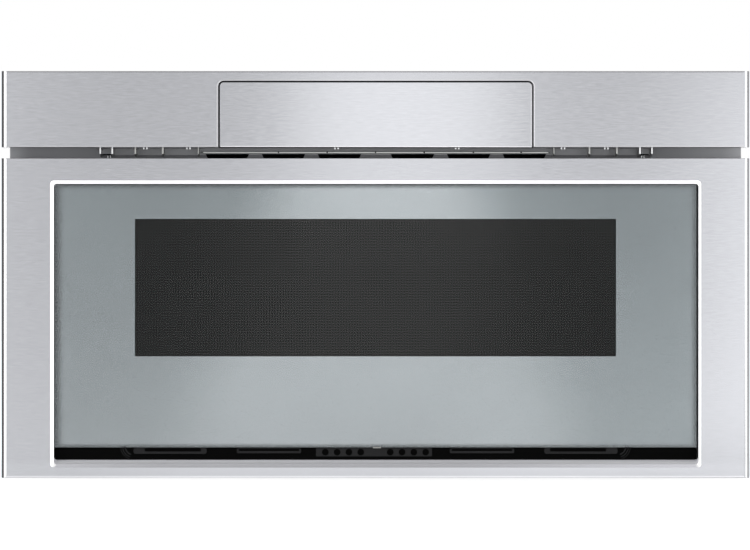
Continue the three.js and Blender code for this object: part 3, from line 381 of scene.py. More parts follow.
# %% Galvanised sheet
def zinc_steel():
    finish = Finish("zinc_steel")
    bent = noise(finish, (60, 60, 60), 2) * 0.004
    place = finish.node("VectorMath", {"operation": "ADD"}, {0: where(finish), 1: bent})
    large = finish.node("TexVoronoi", None, {"Vector": place, "Scale": 95}, "Color")
    small = finish.node("TexVoronoi", None, {"Vector": place, "Scale": 210}, "Color")
    shade = split(finish, large)[0] * 0.6 + split(finish, small)[1] * 0.4
    stains = noise(finish, (7, 7, 7), 3)
    return finish.surface(
        base_color=blend(shade * 0.5 + stains * 0.4, shown(172, 175, 178), shown(132, 136, 140)),
        metallic=0.85,
        roughness=shade * 0.14 + 0.36,
        normal=bump(shade, 0.00002, 0.3),
    )


zinc = zinc_steel()
print("galvanised sheet made")

# %% [markdown]
# Slides, motors and screws are drawn or pressed from steel and carry a thin film of grease. The
# drawing leaves faint lines along the metal. One function makes them all, with streaks for the
# lines and soft patches for the grease, because only colours and directions differ.

# %% Slides, motors and cans
def drawn_metal(name, light, dark, along, rough):
    finish = Finish(name)
    lines = noise(finish, along, 3, 0.6)
    grease = noise(finish, (22, 22, 22), 2)
    return finish.surface(
        base_color=blend(lines * 0.6 + grease * 0.3, shown(*light), shown(*dark)),
        metallic=0.95,
        roughness=grease * 0.14 + rough,
        normal=bump(lines, 0.00003, 0.4),
    )


slide_steel = drawn_metal("slide_steel", (205, 206, 208), (170, 171, 175), (700, 6, 700), 0.22)
motor_steel = drawn_metal("motor_steel", (150, 150, 152), (104, 104, 108), (40, 40, 1600), 0.34)
screw_steel = drawn_metal("screw_steel", (182, 180, 174), (136, 134, 128), (300, 300, 300), 0.26)
capacitor_can = drawn_metal("capacitor_can", (210, 211, 214), (182, 183, 187), (500, 8, 500), 0.2)
print("metals made")

# %% [markdown]
# Plastic, enamel, ceramic and rubber are hardly ever one flat colour. A fine grain roughens them,
# and broad patches shift their colour a little. One function serves for all of them, because only
# the colours, the size of the grain and the gloss differ.

# %% Paint, plastic, enamel and ceramic
def skin(name, colour, shade, grain, rough, depth=0.00003, metal=0.0, coat=0.0, shine=0.5):
    finish = Finish(name)
    fine = noise(finish, (grain, grain, grain), 2)
    broad = noise(finish, (12, 12, 12), 3)
    return finish.surface(
        base_color=blend(broad * 0.5 + fine * 0.3, shown(*colour), shown(*shade)),
        metallic=metal,
        roughness=fine * 0.14 + rough,
        coat_weight=coat,
        specular_ior_level=shine,
        normal=bump(fine, depth, 0.35),
    )


dark_trim = skin("dark_trim", (140, 141, 144), (112, 113, 116), 1500, 0.36, metal=0.35)
black_plastic = skin("black_plastic", (32, 32, 34), (20, 20, 21), 1300, 0.42)
white_plastic = skin("white_plastic", (228, 228, 222), (208, 208, 202), 900, 0.36)
oven_enamel = skin("oven_enamel", (206, 207, 205), (192, 193, 191), 420, 0.2, 0.00005, coat=0.3)
ceramic = skin("ceramic", (222, 220, 212), (206, 203, 195), 700, 0.16, coat=0.5)
rubber = skin("rubber", (38, 38, 38), (26, 26, 26), 600, 0.62)
matt_black = skin("matt_black", (6, 6, 6), (3, 3, 3), 1300, 0.7, shine=0.03)
vent_grey = skin("vent_grey", (40, 40, 41), (27, 27, 28), 1300, 0.5, shine=0.1)
lip_grey = skin("lip_grey", (180, 181, 178), (156, 157, 154), 900, 0.3, metal=0.6)
lip_edge = brushed_steel("lip_edge", shown(196, 198, 195), WIDE_LINES, 0.3)
tab_steel = brushed_steel("tab_steel", shown(206, 207, 208), WIDE_LINES, 0.3)
trim_shade = skin("trim_shade", (132, 133, 136), (112, 113, 116), 1500, 0.4, metal=0.3)
sealant = skin("sealant", (168, 168, 164), (148, 148, 144), 500, 0.5)
foil = drawn_metal("foil", (168, 169, 170), (150, 151, 152), (4, 4, 300), 0.36)
print_white = skin("print_white", (214, 216, 218), (196, 198, 200), 900, 0.4)
print("plastic, enamel, ceramic and rubber made")

# %% [markdown]
# The dark moulding in the gap lies close to bright steel, which throws light on it in places.
# Real bounces of light are slow to work out in such a narrow gap, so ramps along the gap make this
# finish paler near the guides and at both ends.

# %% Trim of the gap
def gap_trim():
    """Dark trim that is lighter where the bright guides and the ends of the gap throw light on it."""
    finish = Finish("gap_trim")
    fine = noise(finish, (1500, 1500, 1500), 2)
    x = split(finish)[0]
    away = x.absolute()
    inner = (1 - ramp(away - 0.264, 0.004)) * (ramp(away - 0.165, 0.01) * 0.21 + 0.29)
    between = ramp(away - 0.2675, 0.001) - ramp(away - 0.2790, 0.001)
    left_end = ramp(0 - x - 0.35, 0.02) * 0.25
    right_end = ramp(x - 0.28, 0.1) * 0.45 + ramp(x - 0.35, 0.02) * 0.2
    light = inner + between * 0.95 + left_end + right_end
    dark = blend(fine * 0.4, shown(140, 141, 144), shown(120, 121, 124))
    return finish.surface(
        base_color=blend(light, dark, shown(202, 203, 206)),
        metallic=0.35,
        roughness=fine * 0.14 + 0.36,
        normal=bump(fine, 0.00003, 0.35),
    )


gap_steel = gap_trim()
print("trim of the gap made")

# %% [markdown]
# A circuit board is green lacquer over copper tracks. Drawing each track would take long and
# nobody sees the board up close, so slanting stripes that noise breaks up stand for the tracks.

# %% Circuit board
def circuit_board():
    finish = Finish("circuit_board")
    x, y, z = split(finish)
    rows = (z + y * 0.5).repeat(0.0046)
    tracks = (rows < 0.0016) * (noise(finish, (60, 60, 60), 1) > 0.47)
    return finish.surface(
        base_color=blend(tracks, shown(22, 74, 50), shown(52, 116, 78)),
        roughness=0.36 - tracks * 0.08,
        coat_weight=0.3,
        normal=bump(tracks, 0.00005, 0.4),
    )


board = circuit_board()
MADE = [brushed_front, zinc, slide_steel, dark_trim, black_plastic, white_plastic, oven_enamel, door_glass,
        touch_glass, silver, screen, ceramic, board, motor_steel, capacitor_can]
FINISHES = {made.name.split(".")[0]: made for made in MADE}
print(len(FINISHES), "finishes for the record's slots")

# %% [markdown]
# ## Carry the CAD pieces over
# A CAD piece whose shape is right keeps its mesh. Real edges are never perfectly sharp and catch
# the light, so each piece gets a narrow Bevel on its sharp edges, and its slot's finish.

# %% Finish and soften the CAD pieces
SHARP = math.radians(35)  # edges that turn by more than this stay crisp and get the bevel
CAD_BEVEL = 0.0003


def soften(piece, width):
    piece.data.polygons.foreach_set("use_smooth", [True] * len(piece.data.polygons))
    piece.data.set_sharp_from_angle(angle=SHARP)
    if width:
        rounding = piece.modifiers.new("rounded edges", "BEVEL")
        rounding.width = width
        rounding.segments = 2
        rounding.limit_method = "ANGLE"
        rounding.angle_limit = SHARP
    piece.modifiers.new("even shading", "WEIGHTED_NORMAL").keep_sharp = True


for piece in nodes.values():
    for painted in piece.material_slots:
        painted.material = FINISHES[painted.material.name.split(".")[0]]
    soften(piece, CAD_BEVEL)
print(len(nodes), "CAD pieces finished")

# %% [markdown]
# ## Making sheet metal
# The steel fronts are thin sheet folded over a frame. The face is flat and its edges roll back.
# Loops of points, one inside the next, follow that roll, and faces join each loop to the next.
# Each edge can roll by its own width, because the upright edges are rounder than the others.

# %% Outlines
def arc(x, z, radius, start, stop, steps=6):
    turns = [math.radians(start + (stop - start) * i / steps) for i in range(steps + 1)]
    return [(x + radius * math.cos(t), z + radius * math.sin(t)) for t in turns]


def rectangle(x0, x1, z0, z1):
    return [(x0, z0), (x1, z0), (x1, z1), (x0, z1)]


def rounded_rectangle(x0, x1, z0, z1, radius, steps=6):
    return (arc(x0 + radius, z0 + radius, radius, 180, 270, steps)
            + arc(x1 - radius, z0 + radius, radius, 270, 360, steps)
            + arc(x1 - radius, z1 - radius, radius, 0, 90, steps)
            + arc(x0 + radius, z1 - radius, radius, 90, 180, steps))


def edges_of(outline):
    """The two ends of each edge, in order round the outline."""
    return list(zip(outline, outline[1:] + outline[:1]))


def inset(outline, distances):
    """Each edge moves inwards by its own distance. The outline runs anticlockwise in x and z."""
    normals = []
    for (x0, z0), (x1, z1) in edges_of(outline):
        length = math.hypot(x1 - x0, z1 - z0)
        normals.append((-(z1 - z0) / length, (x1 - x0) / length))
    moved = []
    for i, (x, z) in enumerate(outline):
        (ax, az), (bx, bz) = normals[i - 1], normals[i]
        a, b = distances[i - 1], distances[i]
        turn = ax * bz - az * bx
        if abs(turn) < 0.05:
            sx, sz = (ax * a + bx * b) / 2, (az * a + bz * b) / 2
        else:
            sx, sz = (a * bz - b * az) / turn, (b * ax - a * bx) / turn
        moved.append((x + sx, z + sz))
    return moved


print("a 10 mm square, 1 mm in:", inset(rectangle(0, 10, 0, 10), [1] * 4))

# %% [markdown]
# A bmesh is a mesh while it is being made. Every new piece ends in the same way: its faces turn
# outwards, and it gets its finish, its soft edges and the body it rides on. It also hides the CAD
# pieces that it stands for. One function does all that for every piece.

# %% Pieces and lofts
def add_piece(name, mesh, finish, body, replaced=(), edge=0.0):
    data = bpy.data.meshes.new(name)
    bmesh.ops.recalc_face_normals(mesh, faces=mesh.faces)
    mesh.to_mesh(data)
    mesh.free()
    for each in finish if isinstance(finish, list) else [finish]:
        data.materials.append(each)
    piece = bpy.data.objects.new(name, data)
    bpy.context.scene.collection.objects.link(piece)
    soften(piece, edge)
    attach(piece, body)
    if replaced:
        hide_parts(*replaced)
    return piece


def loft(mesh, loops):
    """Faces from each closed loop of points to the next. Returns the corners of every loop."""
    rows = [[mesh.verts.new(p) for p in loop] for loop in loops]
    for one, two in zip(rows, rows[1:]):
        for i in range(len(one)):
            j = (i + 1) % len(one)
            mesh.faces.new((one[i], one[j], two[j], two[i]))
    return rows


def fill(mesh, *rows):
    edges = []
    for row in rows:
        for a, b in edges_of(row):
            edges.append(mesh.edges.get((a, b)) or mesh.edges.new((a, b)))
    bmesh.ops.triangle_fill(mesh, use_beauty=True, use_dissolve=False, edges=edges)


# %% [markdown]
# A rolled edge is a quarter of an ellipse, so each loop lies a little further in and further
# forward than the one before. A face's place decides which finish it wears, and these finishes are
# painted light and shade: a painted highlight along each upright edge with painted shade on its
# far side, and lighter or darker lines along the top and bottom. That keeps the bands along the
# edge sharp, where a ramp in the shader would have to know every edge.

# %% Rolled edges
EDGE = 0.005
THIN = 0.0004


def at_depth(outline, y):
    return [(x, y, z) for x, z in outline]


def roll(outline, widths, front, depth, rim=0.0011, steps=9):
    """The loops of a rolled edge, from its side round to the face, and a flat rim on the face."""
    loops = []
    for i in range(steps + 1):
        turn = math.radians(90) * i / steps
        share = 1 - math.cos(turn)
        y = front + depth * (1 - math.sin(turn))
        loops.append(at_depth(inset(outline, [w * share for w in widths]), y))
    loops.append(at_depth(inset(outline, [w + rim for w in widths]), front))
    return loops


def colour_rolled_edges(mesh, half, bottom, top, top_line=FACE, low_line=RIM):
    """Picks the finish of each face of a rolled edge and its rim, by where it lies. The finishes are painted
    highlights and painted shade.
    """
    for face in mesh.faces:
        middle = face.calc_center_median()
        into = half - abs(middle.x)
        bright_end = EDGE if middle.x < 0 else 0.0042
        if middle.y >= FRONT + EDGE:
            continue
        # Painted highlight on the inner part of an upright roll and painted shade on its far side, darker on
        # the left than on the right.
        if FRONT < middle.y and 0.00001 < into < bright_end:
            face.material_index = PAINTED_HIGHLIGHT if into > 0.0024 else PAINTED_DARK_LEFT if middle.x < 0 else PAINTED_DARK_RIGHT
        elif 0 < top - middle.z < 0.0016:
            face.material_index = top_line
        elif 0 < middle.z - bottom < 0.0020:
            face.material_index = low_line if middle.y < FRONT + 0.00001 else RIM


print("rolled edges are", EDGE * 1000, "mm wide")

# %% [markdown]
# ## Door frame
# The drawer front is a steel frame round a pane of glass. Its upright edges have a radius of
# about 5 mm, its opening is bevelled towards the glass, and the lower bevel is a wide slope.

# %% Door frame
DOOR = {"half": 0.3795, "bottom": -0.017, "top": 0.3075}
BEVEL_BACK = -0.3412
OPENING = [  # left, right, bottom, top, depth, corner radius
    (-0.3299, 0.3303, -0.0064, 0.2849, FRONT, 0.0036),
    (-0.3297, 0.3301, -0.0062, 0.2847, FRONT + 0.00005, 0.0035),
    (-0.3294, 0.3298, -0.0059, 0.2844, FRONT + 0.0002, 0.0034),
    (-0.3265, 0.3277, -0.0033, 0.2815, BEVEL_BACK, 0.0028),
    (-0.3264, 0.3276, 0.0011, 0.2814, -0.3310, 0.0028),
    (-0.3264, 0.3276, 0.0011, 0.2814, -0.3060, 0.0028),
]


def door_frame():
    mesh = bmesh.new()
    half, bottom, top = DOOR.values()
    outline = rectangle(-half, half, bottom, top)
    outer = loft(mesh, [at_depth(outline, -0.3042)] + roll(outline, [0.0011, EDGE, THIN, EDGE], FRONT, EDGE))
    inner = loft(mesh, [at_depth(rounded_rectangle(*sides, corner), y) for *sides, y, corner in OPENING])
    bmesh.ops.recalc_face_normals(mesh, faces=mesh.faces)
    for face in mesh.faces:
        middle = face.calc_center_median()
        # Painted light: the bevels of the opening wear the painted highlight, and the slope under the glass
        # and the frame below it wear the satin steel with its painted light.
        if abs(middle.x) < 0.331 and FRONT + 0.00001 < middle.y < BEVEL_BACK:
            face.material_index = PAINTED_HIGHLIGHT if face.normal.z < 0.5 and middle.z > -0.0058 else SATIN
        elif middle.z < 0.0015 and middle.y > BEVEL_BACK and -0.3265 < middle.x < 0.3277:
            face.material_index = SATIN
    colour_rolled_edges(mesh, half, bottom, top, FACE, PAINTED_LIGHT)
    fill(mesh, outer[-1], inner[0])
    return add_piece("door_frame_steel", mesh, STEELS, "drawer", ["door_frame"])


print(len(door_frame().data.polygons), "faces in the door frame")

# %% [markdown]
# ## Upper fascia
# The fascia is one sheet with a cut-out for the control flap, open at the bottom. Its outline
# runs round the cut-out too, so one closed loop gives the whole shape.

# %% Upper fascia
FASCIA = {"half": 0.3795, "bottom": 0.3185, "top": 0.396}
FLAP_WAY = {"left": -0.1595, "right": 0.1602, "top": 0.3857, "corner": 0.0055}
WAY_RIM = 0.0015  # the folded rim round the cut-out


def upper_fascia():
    half, bottom, top = FASCIA.values()
    left, right, way_top, corner = FLAP_WAY.values()
    outline = [(-half, bottom), (left, bottom)]
    outline += arc(left + corner, way_top - corner, corner, 180, 90)
    outline += arc(right - corner, way_top - corner, corner, 90, 0)
    outline += [(right, bottom), (half, bottom), (half, top), (-half, top)]
    widths = [EDGE if abs(x0) == half and x0 == x1 else THIN for (x0, _), (x1, _) in edges_of(outline)]
    mesh = bmesh.new()
    rows = loft(mesh, [at_depth(outline, -0.2990)] + roll(outline, widths, FRONT, EDGE))
    # Painted light and shade: a darker top line, a lighter rim at the bottom, and lighter steel round the
    # cut-out for the flap.
    colour_rolled_edges(mesh, half, bottom, top, PAINTED_SHADE_TOP)
    for face in mesh.faces:
        middle = face.calc_center_median()
        by_the_way = left - WAY_RIM < middle.x < right + WAY_RIM and middle.z < way_top + WAY_RIM
        if by_the_way and middle.y < FRONT + WAY_RIM:
            face.material_index = RIM if middle.z > way_top else PAINTED_LIGHT
    fill(mesh, rows[-1])
    return add_piece("fascia_steel", mesh, STEELS, "chassis", ["upper_fascia"])


print(len(upper_fascia().data.polygons), "faces in the fascia")

# %% [markdown]
# ## Control flap
# The flap hides the touch panel. It is a small steel tray: a flat face, rounded upper corners and
# a lower edge that is bevelled. Its bright line there is partly that bevel and partly a painted
# highlight, a lighter copy of the steel that the right edge wears too.

# %% Control flap
FLAP = {"left": -0.158, "right": 0.1590, "bottom": 0.3184, "top": 0.3849, "corner": 0.004}
FLAP_DROP = 0.0004  # how much lower the right end of its lower edge lies
FLAP_BACK = -0.3372


def control_flap():
    left, right, bottom, top, corner = FLAP.values()
    outline = [(left, bottom), (right, bottom - FLAP_DROP)]
    outline += arc(right - corner, top - corner, corner, 0, 90)
    outline += arc(left + corner, top - corner, corner, 90, 180)
    widths = [0.0012 if max(z0, z1) <= bottom else 0.0009 for (_, z0), (_, z1) in edges_of(outline)]
    mesh = bmesh.new()
    rows = loft(mesh, [at_depth(outline, FLAP_BACK)] + roll(outline, widths, FRONT, 0.0022, 0.0004))
    for face in mesh.faces:
        middle = face.calc_center_median()
        # Painted highlight: the lower and right edges wear the lighter steel.
        face.material_index = int(middle.z < bottom + 0.0016 or middle.x > right - 0.0012)
    fill(mesh, rows[-1])
    steels = [flap_face, painted_light_edge]
    return add_piece("flap_steel", mesh, steels, "control_flap", ["flap_skin"])


print(len(control_flap().data.polygons), "faces in the flap")

# %% [markdown]
# ## Glass
# The pane has polished edges with a small chamfer, which catch the light as a thin line.

# %% Door glass pane
def glass_pane():
    mesh = bmesh.new()
    half, bottom, top = GLASS.values()
    outline = rounded_rectangle(-half, half, bottom, top, 0.0024)
    chamfer = inset(outline, [0.0004] * len(outline))
    rows = loft(mesh, [at_depth(chamfer, -0.3345), at_depth(outline, -0.3349),
                       at_depth(outline, -0.3381), at_depth(chamfer, -0.3385)])
    fill(mesh, rows[0])
    fill(mesh, rows[-1])
    return add_piece("glass_pane", mesh, door_glass, "drawer", ["door_glass"])


print(len(glass_pane().data.polygons), "faces in the pane")

# %% [markdown]
# ## Plates with holes and turned parts
# Vents, strips and covers are flat plates with holes. The outline and its holes are filled with
# triangles and pushed to a thickness. Screws and rivets are turned: a profile swept round an axis.

# %% Plate
LAY = {
    "x": lambda u, v, w: (w, u, v),
    "y": lambda u, v, w: (u, w, v),
    "z": lambda u, v, w: (u, v, w),
}
SIDES = ((-1, "left"), (1, "right"))


def box_outline(x0, x1, z0, z1, corner=0.0005):
    return rounded_rectangle(x0, x1, z0, z1, corner, 3)


def add_plate(name, outline, depths, finish, body, holes=(), replaced=(), edge=0.0, axis="y"):
    """A flat plate with holes. It runs from one depth to the other along its axis."""
    mesh = bmesh.new()
    lay = LAY[axis]
    low, high = depths
    rows = [[mesh.verts.new(lay(u, v, low)) for u, v in loop] for loop in [outline, *holes]]
    fill(mesh, *rows)
    pushed = bmesh.ops.extrude_face_region(mesh, geom=mesh.faces[:])
    corners = [part for part in pushed["geom"] if isinstance(part, bmesh.types.BMVert)]
    bmesh.ops.translate(mesh, verts=corners, vec=lay(0, 0, high - low))
    return add_piece(name, mesh, finish, body, replaced, edge)


# %% Turned part
def turned(mesh, profile, centre, out, sides, spin=0.0):
    """Adds a turned part. The profile is pairs of radius and height along out, and ends at radius 0."""
    out = Vector(out).normalized()
    one = out.orthogonal().normalized()
    two = out.cross(one)
    rows = []
    for radius, height in profile:
        base = Vector(centre) + out * height
        if radius == 0:
            rows.append([mesh.verts.new(base)])
            continue
        turns = [spin + 2 * math.pi * i / sides for i in range(sides)]
        rows.append([mesh.verts.new(base + (one * math.cos(t) + two * math.sin(t)) * radius) for t in turns])
    for low, high in zip(rows, rows[1:]):
        for i in range(sides):
            j = (i + 1) % sides
            corners = [low[i % len(low)], low[j % len(low)], high[j % len(high)], high[i % len(high)]]
            mesh.faces.new(list(dict.fromkeys(corners)))


def add_turned(name, profile, spots, out, sides, finish, body):
    """One piece made of the same turned part at many spots."""
    mesh = bmesh.new()
    for spot in spots:
        turned(mesh, profile, spot, out, sides)
    return add_piece(name, mesh, finish, body)


# %% [markdown]
# ## The gap under the fascia
# Warm air leaves through the gap. A dark moulding closes it, with six slots in the middle under a
# thin lip, and bright tabs that guide the air. Rivets and clips hold it all to the fascia.

# %% Vent moulding
SLOTS = [-0.1513, -0.0940, -0.0368, 0.0377, 0.0951, 0.1521]
SLOT = {"half": 0.0222, "bottom": 0.3083, "top": 0.3125, "slant": 0.002}
TRIM = {"half": 0.373, "bottom": 0.3032, "top": 0.3187}
TRIM_FACE = -0.3019
STEP = 0.3113  # above this height a second layer stands ahead of the moulding
STEP_FACE = -0.3027


def slot_outline(centre, low):
    """The four corners of a slot from the height low up. Its sides lean outwards."""
    half, bottom, top, slant = SLOT.values()
    narrow = half - slant * (top - low) / (top - bottom)
    return [(centre - narrow, low), (centre + narrow, low), (centre + half, top), (centre - half, top)]


def vent_moulding():
    half, bottom, top = TRIM.values()
    add_plate("vent_moulding", box_outline(-half, half, bottom, top), (TRIM_FACE, -0.2989), trim_shade,
              "chassis", [slot_outline(c, SLOT["bottom"]) for c in SLOTS], ["vent_trim"], 0.0002)
    outline = [(-half, bottom), (-0.281, bottom), (-0.280, STEP)]
    for centre in SLOTS:
        first, *others = slot_outline(centre, STEP)
        outline += [first, *reversed(others)]
    outline += [(0.280, STEP), (0.281, bottom), (half, bottom), (half, top), (-half, top)]
    add_plate("vent_step", outline, (STEP_FACE, TRIM_FACE), gap_steel, "chassis", edge=0.0002)
    # Painted shadow: a matt black sheet behind the slots, so that they look black.
    add_plate("vent_painted_shadow", box_outline(-0.176, 0.176, 0.3045, 0.3168), (-0.29885, -0.2984),
              matt_black, "chassis")
    lip = [(-0.1785, STEP_FACE), (0.1785, STEP_FACE), (0.1763, -0.3097), (-0.1757, -0.3097)]
    return add_plate("vent_lip", lip, (0.3134, 0.3143), lip_edge, "chassis", axis="z")


vent_moulding()
print(len(SLOTS), "slots in the vent moulding")

# %% [markdown]
# Small rivets hold the lip, and pairs of clips hold the fascia and the skin of the flap. They are
# only a few millimetres wide, so turned parts and small plates show all that can be seen of them.

# %% Rivets, clips and pins in the gap
RIVET = [(0, 0), (0.0009, 0), (0.0009, 0.0003), (0.0006, 0.0007), (0, 0.0008)]
PIN = [(0, 0), (0.0006, 0.0001), (0.0006, 0.0025), (0, 0.0026)]
RIVETS = (-0.0989, -0.0492, 0.0001, 0.0497, 0.0999, 0.1486)
CLIPS = (-0.2338, -0.1900, -0.0395, 0.0830, 0.1905, 0.2345)


def gap_hardware():
    spots = [(x, -0.3094, 0.3142) for x in RIVETS]
    add_turned("lip_rivets", RIVET, spots, (0, -1, 0), 12, vent_grey, "chassis")
    for number, x in enumerate(CLIPS):
        on_flap = FLAP["left"] < x < FLAP["right"]
        body, front = ("control_flap", FLAP_BACK) if on_flap else ("chassis", -0.3345)
        for side, word in ((-1, "a"), (1, "b")):
            centre = x + side * 0.0016
            outline = box_outline(centre - 0.0007, centre + 0.0007, 0.3166, 0.3190, 0.0003)
            add_plate(f"fascia_clip_{number + 1}{word}", outline, (front, front + 0.001), tab_steel,
                      body, edge=0.0001)
    spots = [(x, -0.3042, 0.3084) for x in (-0.2732, -0.2706, 0.2717, 0.2741)]
    return add_turned("guide_pins", PIN, spots, (0, 0, 1), 10, tab_steel, "chassis")


gap_hardware()
print(len(RIVETS), "rivets and", len(CLIPS), "pairs of clips in the gap")

# %% [markdown]
# Sheet tabs stand across the gap on both sides and steer the air. They hang from a strap. All tabs
# share one side view and differ in place and thickness, so a short list is enough to make them.
# Thin seals beside the flap keep the grease of the kitchen out.

# %% Air guides and flap seals
TABS = [(0.2796, 0.0008), (0.2674, 0.0009), (0.2440, 0.0008), (0.2161, 0.0009), (0.1800, 0.0005)]
TAB_SIDE = [(-0.3345, 0.3119), (-0.3031, 0.3100), (-0.3031, 0.3186), (-0.3345, 0.3186)]
TAB_SHIFT = {"left": 0, "right": 0.0013}
SEALS = {"left": -0.1588, "right": 0.1596}


def air_guides(sign, word):
    """Upright tabs under a strap, on one side of the slots. The outer two wear a brighter steel than the
    others, as painted light.
    """
    low, high = sorted((sign * 0.174, sign * 0.2855))
    add_plate(f"guide_strap_{word}", box_outline(low, high, -0.3335, -0.3030), (0.3182, 0.3187),
              trim_shade, "chassis", replaced=[f"air_guide_{word}"], axis="z")
    middle = sign * 0.2738
    slot = box_outline(middle - 0.0052, middle + 0.0052, 0.3114, 0.3126, 0.0003)
    add_plate(f"guide_slot_{word}", slot, (-0.3030, STEP_FACE), matt_black, "chassis")
    for number, (x, half) in enumerate(TABS):
        centre = sign * x + TAB_SHIFT[word]
        add_plate(f"guide_tab_{word}_{number + 1}", TAB_SIDE, (centre - half, centre + half),
                  tab_steel if number < 2 else lip_grey, "chassis", edge=0.0002, axis="x")
    seal = box_outline(SEALS[word] - 0.0004, SEALS[word] + 0.0004, 0.3195, 0.3825, 0.0003)
    add_plate(f"flap_seal_{word}", seal, (-0.3388, -0.3364), dark_trim, "chassis")


for sign, word in SIDES:
    air_guides(sign, word)
print(len(TABS), "tabs on each side of the slots")

# %% [markdown]
# ## The strip under the glass
# Below the pane a black moulding lets air into the door. It has small raised plates: one in the
# middle with eight round holes, thin trays beside it, and slotted plates with curved ribs.

# %% Lower strip
STRIP_FACE = -0.3307
RIBS = [(0.0085, 0.0098), (0.0114, 0.0122), (0.0136, 0.0141)]  # inner and outer radius


def ring_piece(centre, inner, outer, start, stop):
    return arc(*centre, outer, start, stop, 10) + arc(*centre, inner, stop, start, 10)


def side_box(side, x0, x1, z0, z1, corner):
    low, high = sorted((side * x0, side * x1))
    return box_outline(low, high, z0, z1, corner)


def raised(name, outline, height, holes=(), edge=0.0002):
    add_plate(name, outline, (STRIP_FACE - height, STRIP_FACE), vent_grey, "drawer",
              holes, edge=edge)


def lower_strip():
    outline = rounded_rectangle(-GLASS["half"], GLASS["half"], 0.0013, 0.0136, 0.0022)
    add_plate("lower_strip", outline, (STRIP_FACE, -0.3257), matt_black, "drawer",
              replaced=["lower_vent_trim"], edge=0.0003)
    centres = [side * x for side in (-1, 1) for x in (0.015, 0.027, 0.039, 0.051)]
    holes = [arc(x, 0.0089, 0.0034, 0, 342, 19) for x in centres]
    raised("strip_centre_plate", box_outline(-0.0605, 0.0575, 0.0046, 0.0131, 0.001), 0.0009, holes)
    for side, word in SIDES:
        raised(f"strip_tray_{word}", side_box(side, 0.0756, 0.141, 0.0078, 0.0128, 0.0014), 0.0008,
               [side_box(side, 0.0775, 0.139, 0.0101, 0.0122, 0.0006)])
        raised(f"strip_slot_plate_{word}", side_box(side, 0.1715, 0.246, 0.0072, 0.0134, 0.0022), 0.0010,
               [side_box(side, 0.1775, 0.2345, 0.0096, 0.0130, 0.0008)])
        turn = (182, 250) if side < 0 else (290, 358)
        for number, radii in enumerate(RIBS):
            rib = ring_piece((side * 0.2455, 0.0152), *radii, *turn)
            raised(f"strip_rib_{word}_{number + 1}", rib, 0.0012, edge=0.0)
    clip = box_outline(-0.0026, 0.0056, 0.0132, 0.0145, 0.0004)
    return add_plate("glass_clip", clip, (-0.3389, -0.3386), sealant, "drawer", edge=0.0001)


lower_strip()
print("strip under the glass made")

# %% [markdown]
# ## Screws, beads and louvres of the box
# The box is thin galvanised sheet. Pressed beads keep its panels stiff, louvres keep dust out of
# the vents, and hexagon screws with a flange hold it together. All of these stand out from the
# panels, so they are raised pieces on the CAD panels. A ring of points per height makes each one.

# %% Screw heads
SCREW_FLANGE = [(0, 0), (0.0045, 0), (0.0045, 0.0004), (0.0033, 0.0009), (0, 0.0009)]
HEXAGON = [(0, 0.0008), (0.0031, 0.0008), (0.0031, 0.0020), (0.0027, 0.0023), (0.0014, 0.0023),
           (0.0011, 0.0017), (0, 0.0017)]
PAN_HEAD = [(0, 0), (0.0036, 0), (0.0035, 0.0008), (0.0027, 0.0015), (0.0014, 0.0018),
            (0.0010, 0.0010), (0, 0.0010)]
SIDE, TOP, BACK = 0.359, 0.372, 0.295  # the outer faces of the box


def hexagon_screws(name, spots, out):
    mesh = bmesh.new()
    for number, spot in enumerate(spots):
        turned(mesh, SCREW_FLANGE, spot, out, 18)
        turned(mesh, HEXAGON, spot, out, 6, number * 0.7)
    return add_piece(name, mesh, screw_steel, "chassis")


def pan_screws(name, spots, out, body):
    return add_turned(name, PAN_HEAD, spots, out, 16, screw_steel, body)


for sign, word in SIDES:
    low_row = [(sign * SIDE, y, 0.009) for y in (-0.26, -0.13, 0, 0.13, 0.26)]
    back_row = [(sign * SIDE, 0.287, z) for z in (0.07, 0.19, 0.31)]
    rail_row = [(sign * SIDE, y, 0.1725) for y in (-0.265, -0.13, 0.005, 0.14)]
    hexagon_screws(f"side_screws_{word}", low_row + back_row + rail_row, (sign, 0, 0))
top_spots = [(x, y, TOP) for x in (-0.3515, 0.3515) for y in (-0.27, -0.135, 0, 0.135, 0.27)]
top_spots += [(x, 0.287, TOP) for x in (-0.24, 0, 0.24)]
hexagon_screws("top_cover_screws", top_spots, (0, 0, 1))
rear_spots = [(x, BACK, z) for x in (-0.335, -0.17, 0, 0.17, 0.335) for z in (0.009, 0.364)]
rear_spots += [(x, BACK, z) for x in (-0.350, 0.350) for z in (0.1, 0.19, 0.28)]
hexagon_screws("rear_panel_screws", rear_spots, (0, 1, 0))
base_spots = [(x, y, 0.0) for x in (-0.34, 0.34) for y in (-0.27, 0, 0.27)]
base_spots += [(x, y, 0.0) for x in (0.138, 0.242) for y in (0.155, 0.235)]
base_spots += [(-0.306, -0.272, 0.0), (-0.306, -0.172, 0.0), (0.3, 0.16, 0.0), (0.3, 0.21, 0.0)]
hexagon_screws("base_pan_screws", base_spots, (0, 0, -1))
print(len(top_spots) + len(rear_spots) + len(base_spots), "hexagon screws on the top, rear and base")

# %% [markdown]
# A bead is a long ridge that is pressed into thin sheet so that it doesn't drum. Its outline moves
# inwards a few times and rises a little each time. That gives a round profile with few faces.

# %% Beads
def bead(mesh, u0, u1, v0, v1, base, out, axis, height=0.0015):
    radius = min(u1 - u0, v1 - v0) / 2 - 0.0001
    outline = rounded_rectangle(u0, u1, v0, v1, radius)
    loops = []
    for share, rise in ((0, 0), (0.2, 0.45), (0.45, 0.85), (0.75, 1)):
        loop = inset(outline, [radius * share] * len(outline))
        loops.append([LAY[axis](u, v, base + out * height * rise) for u, v in loop])
    fill(mesh, loft(mesh, loops)[-1])


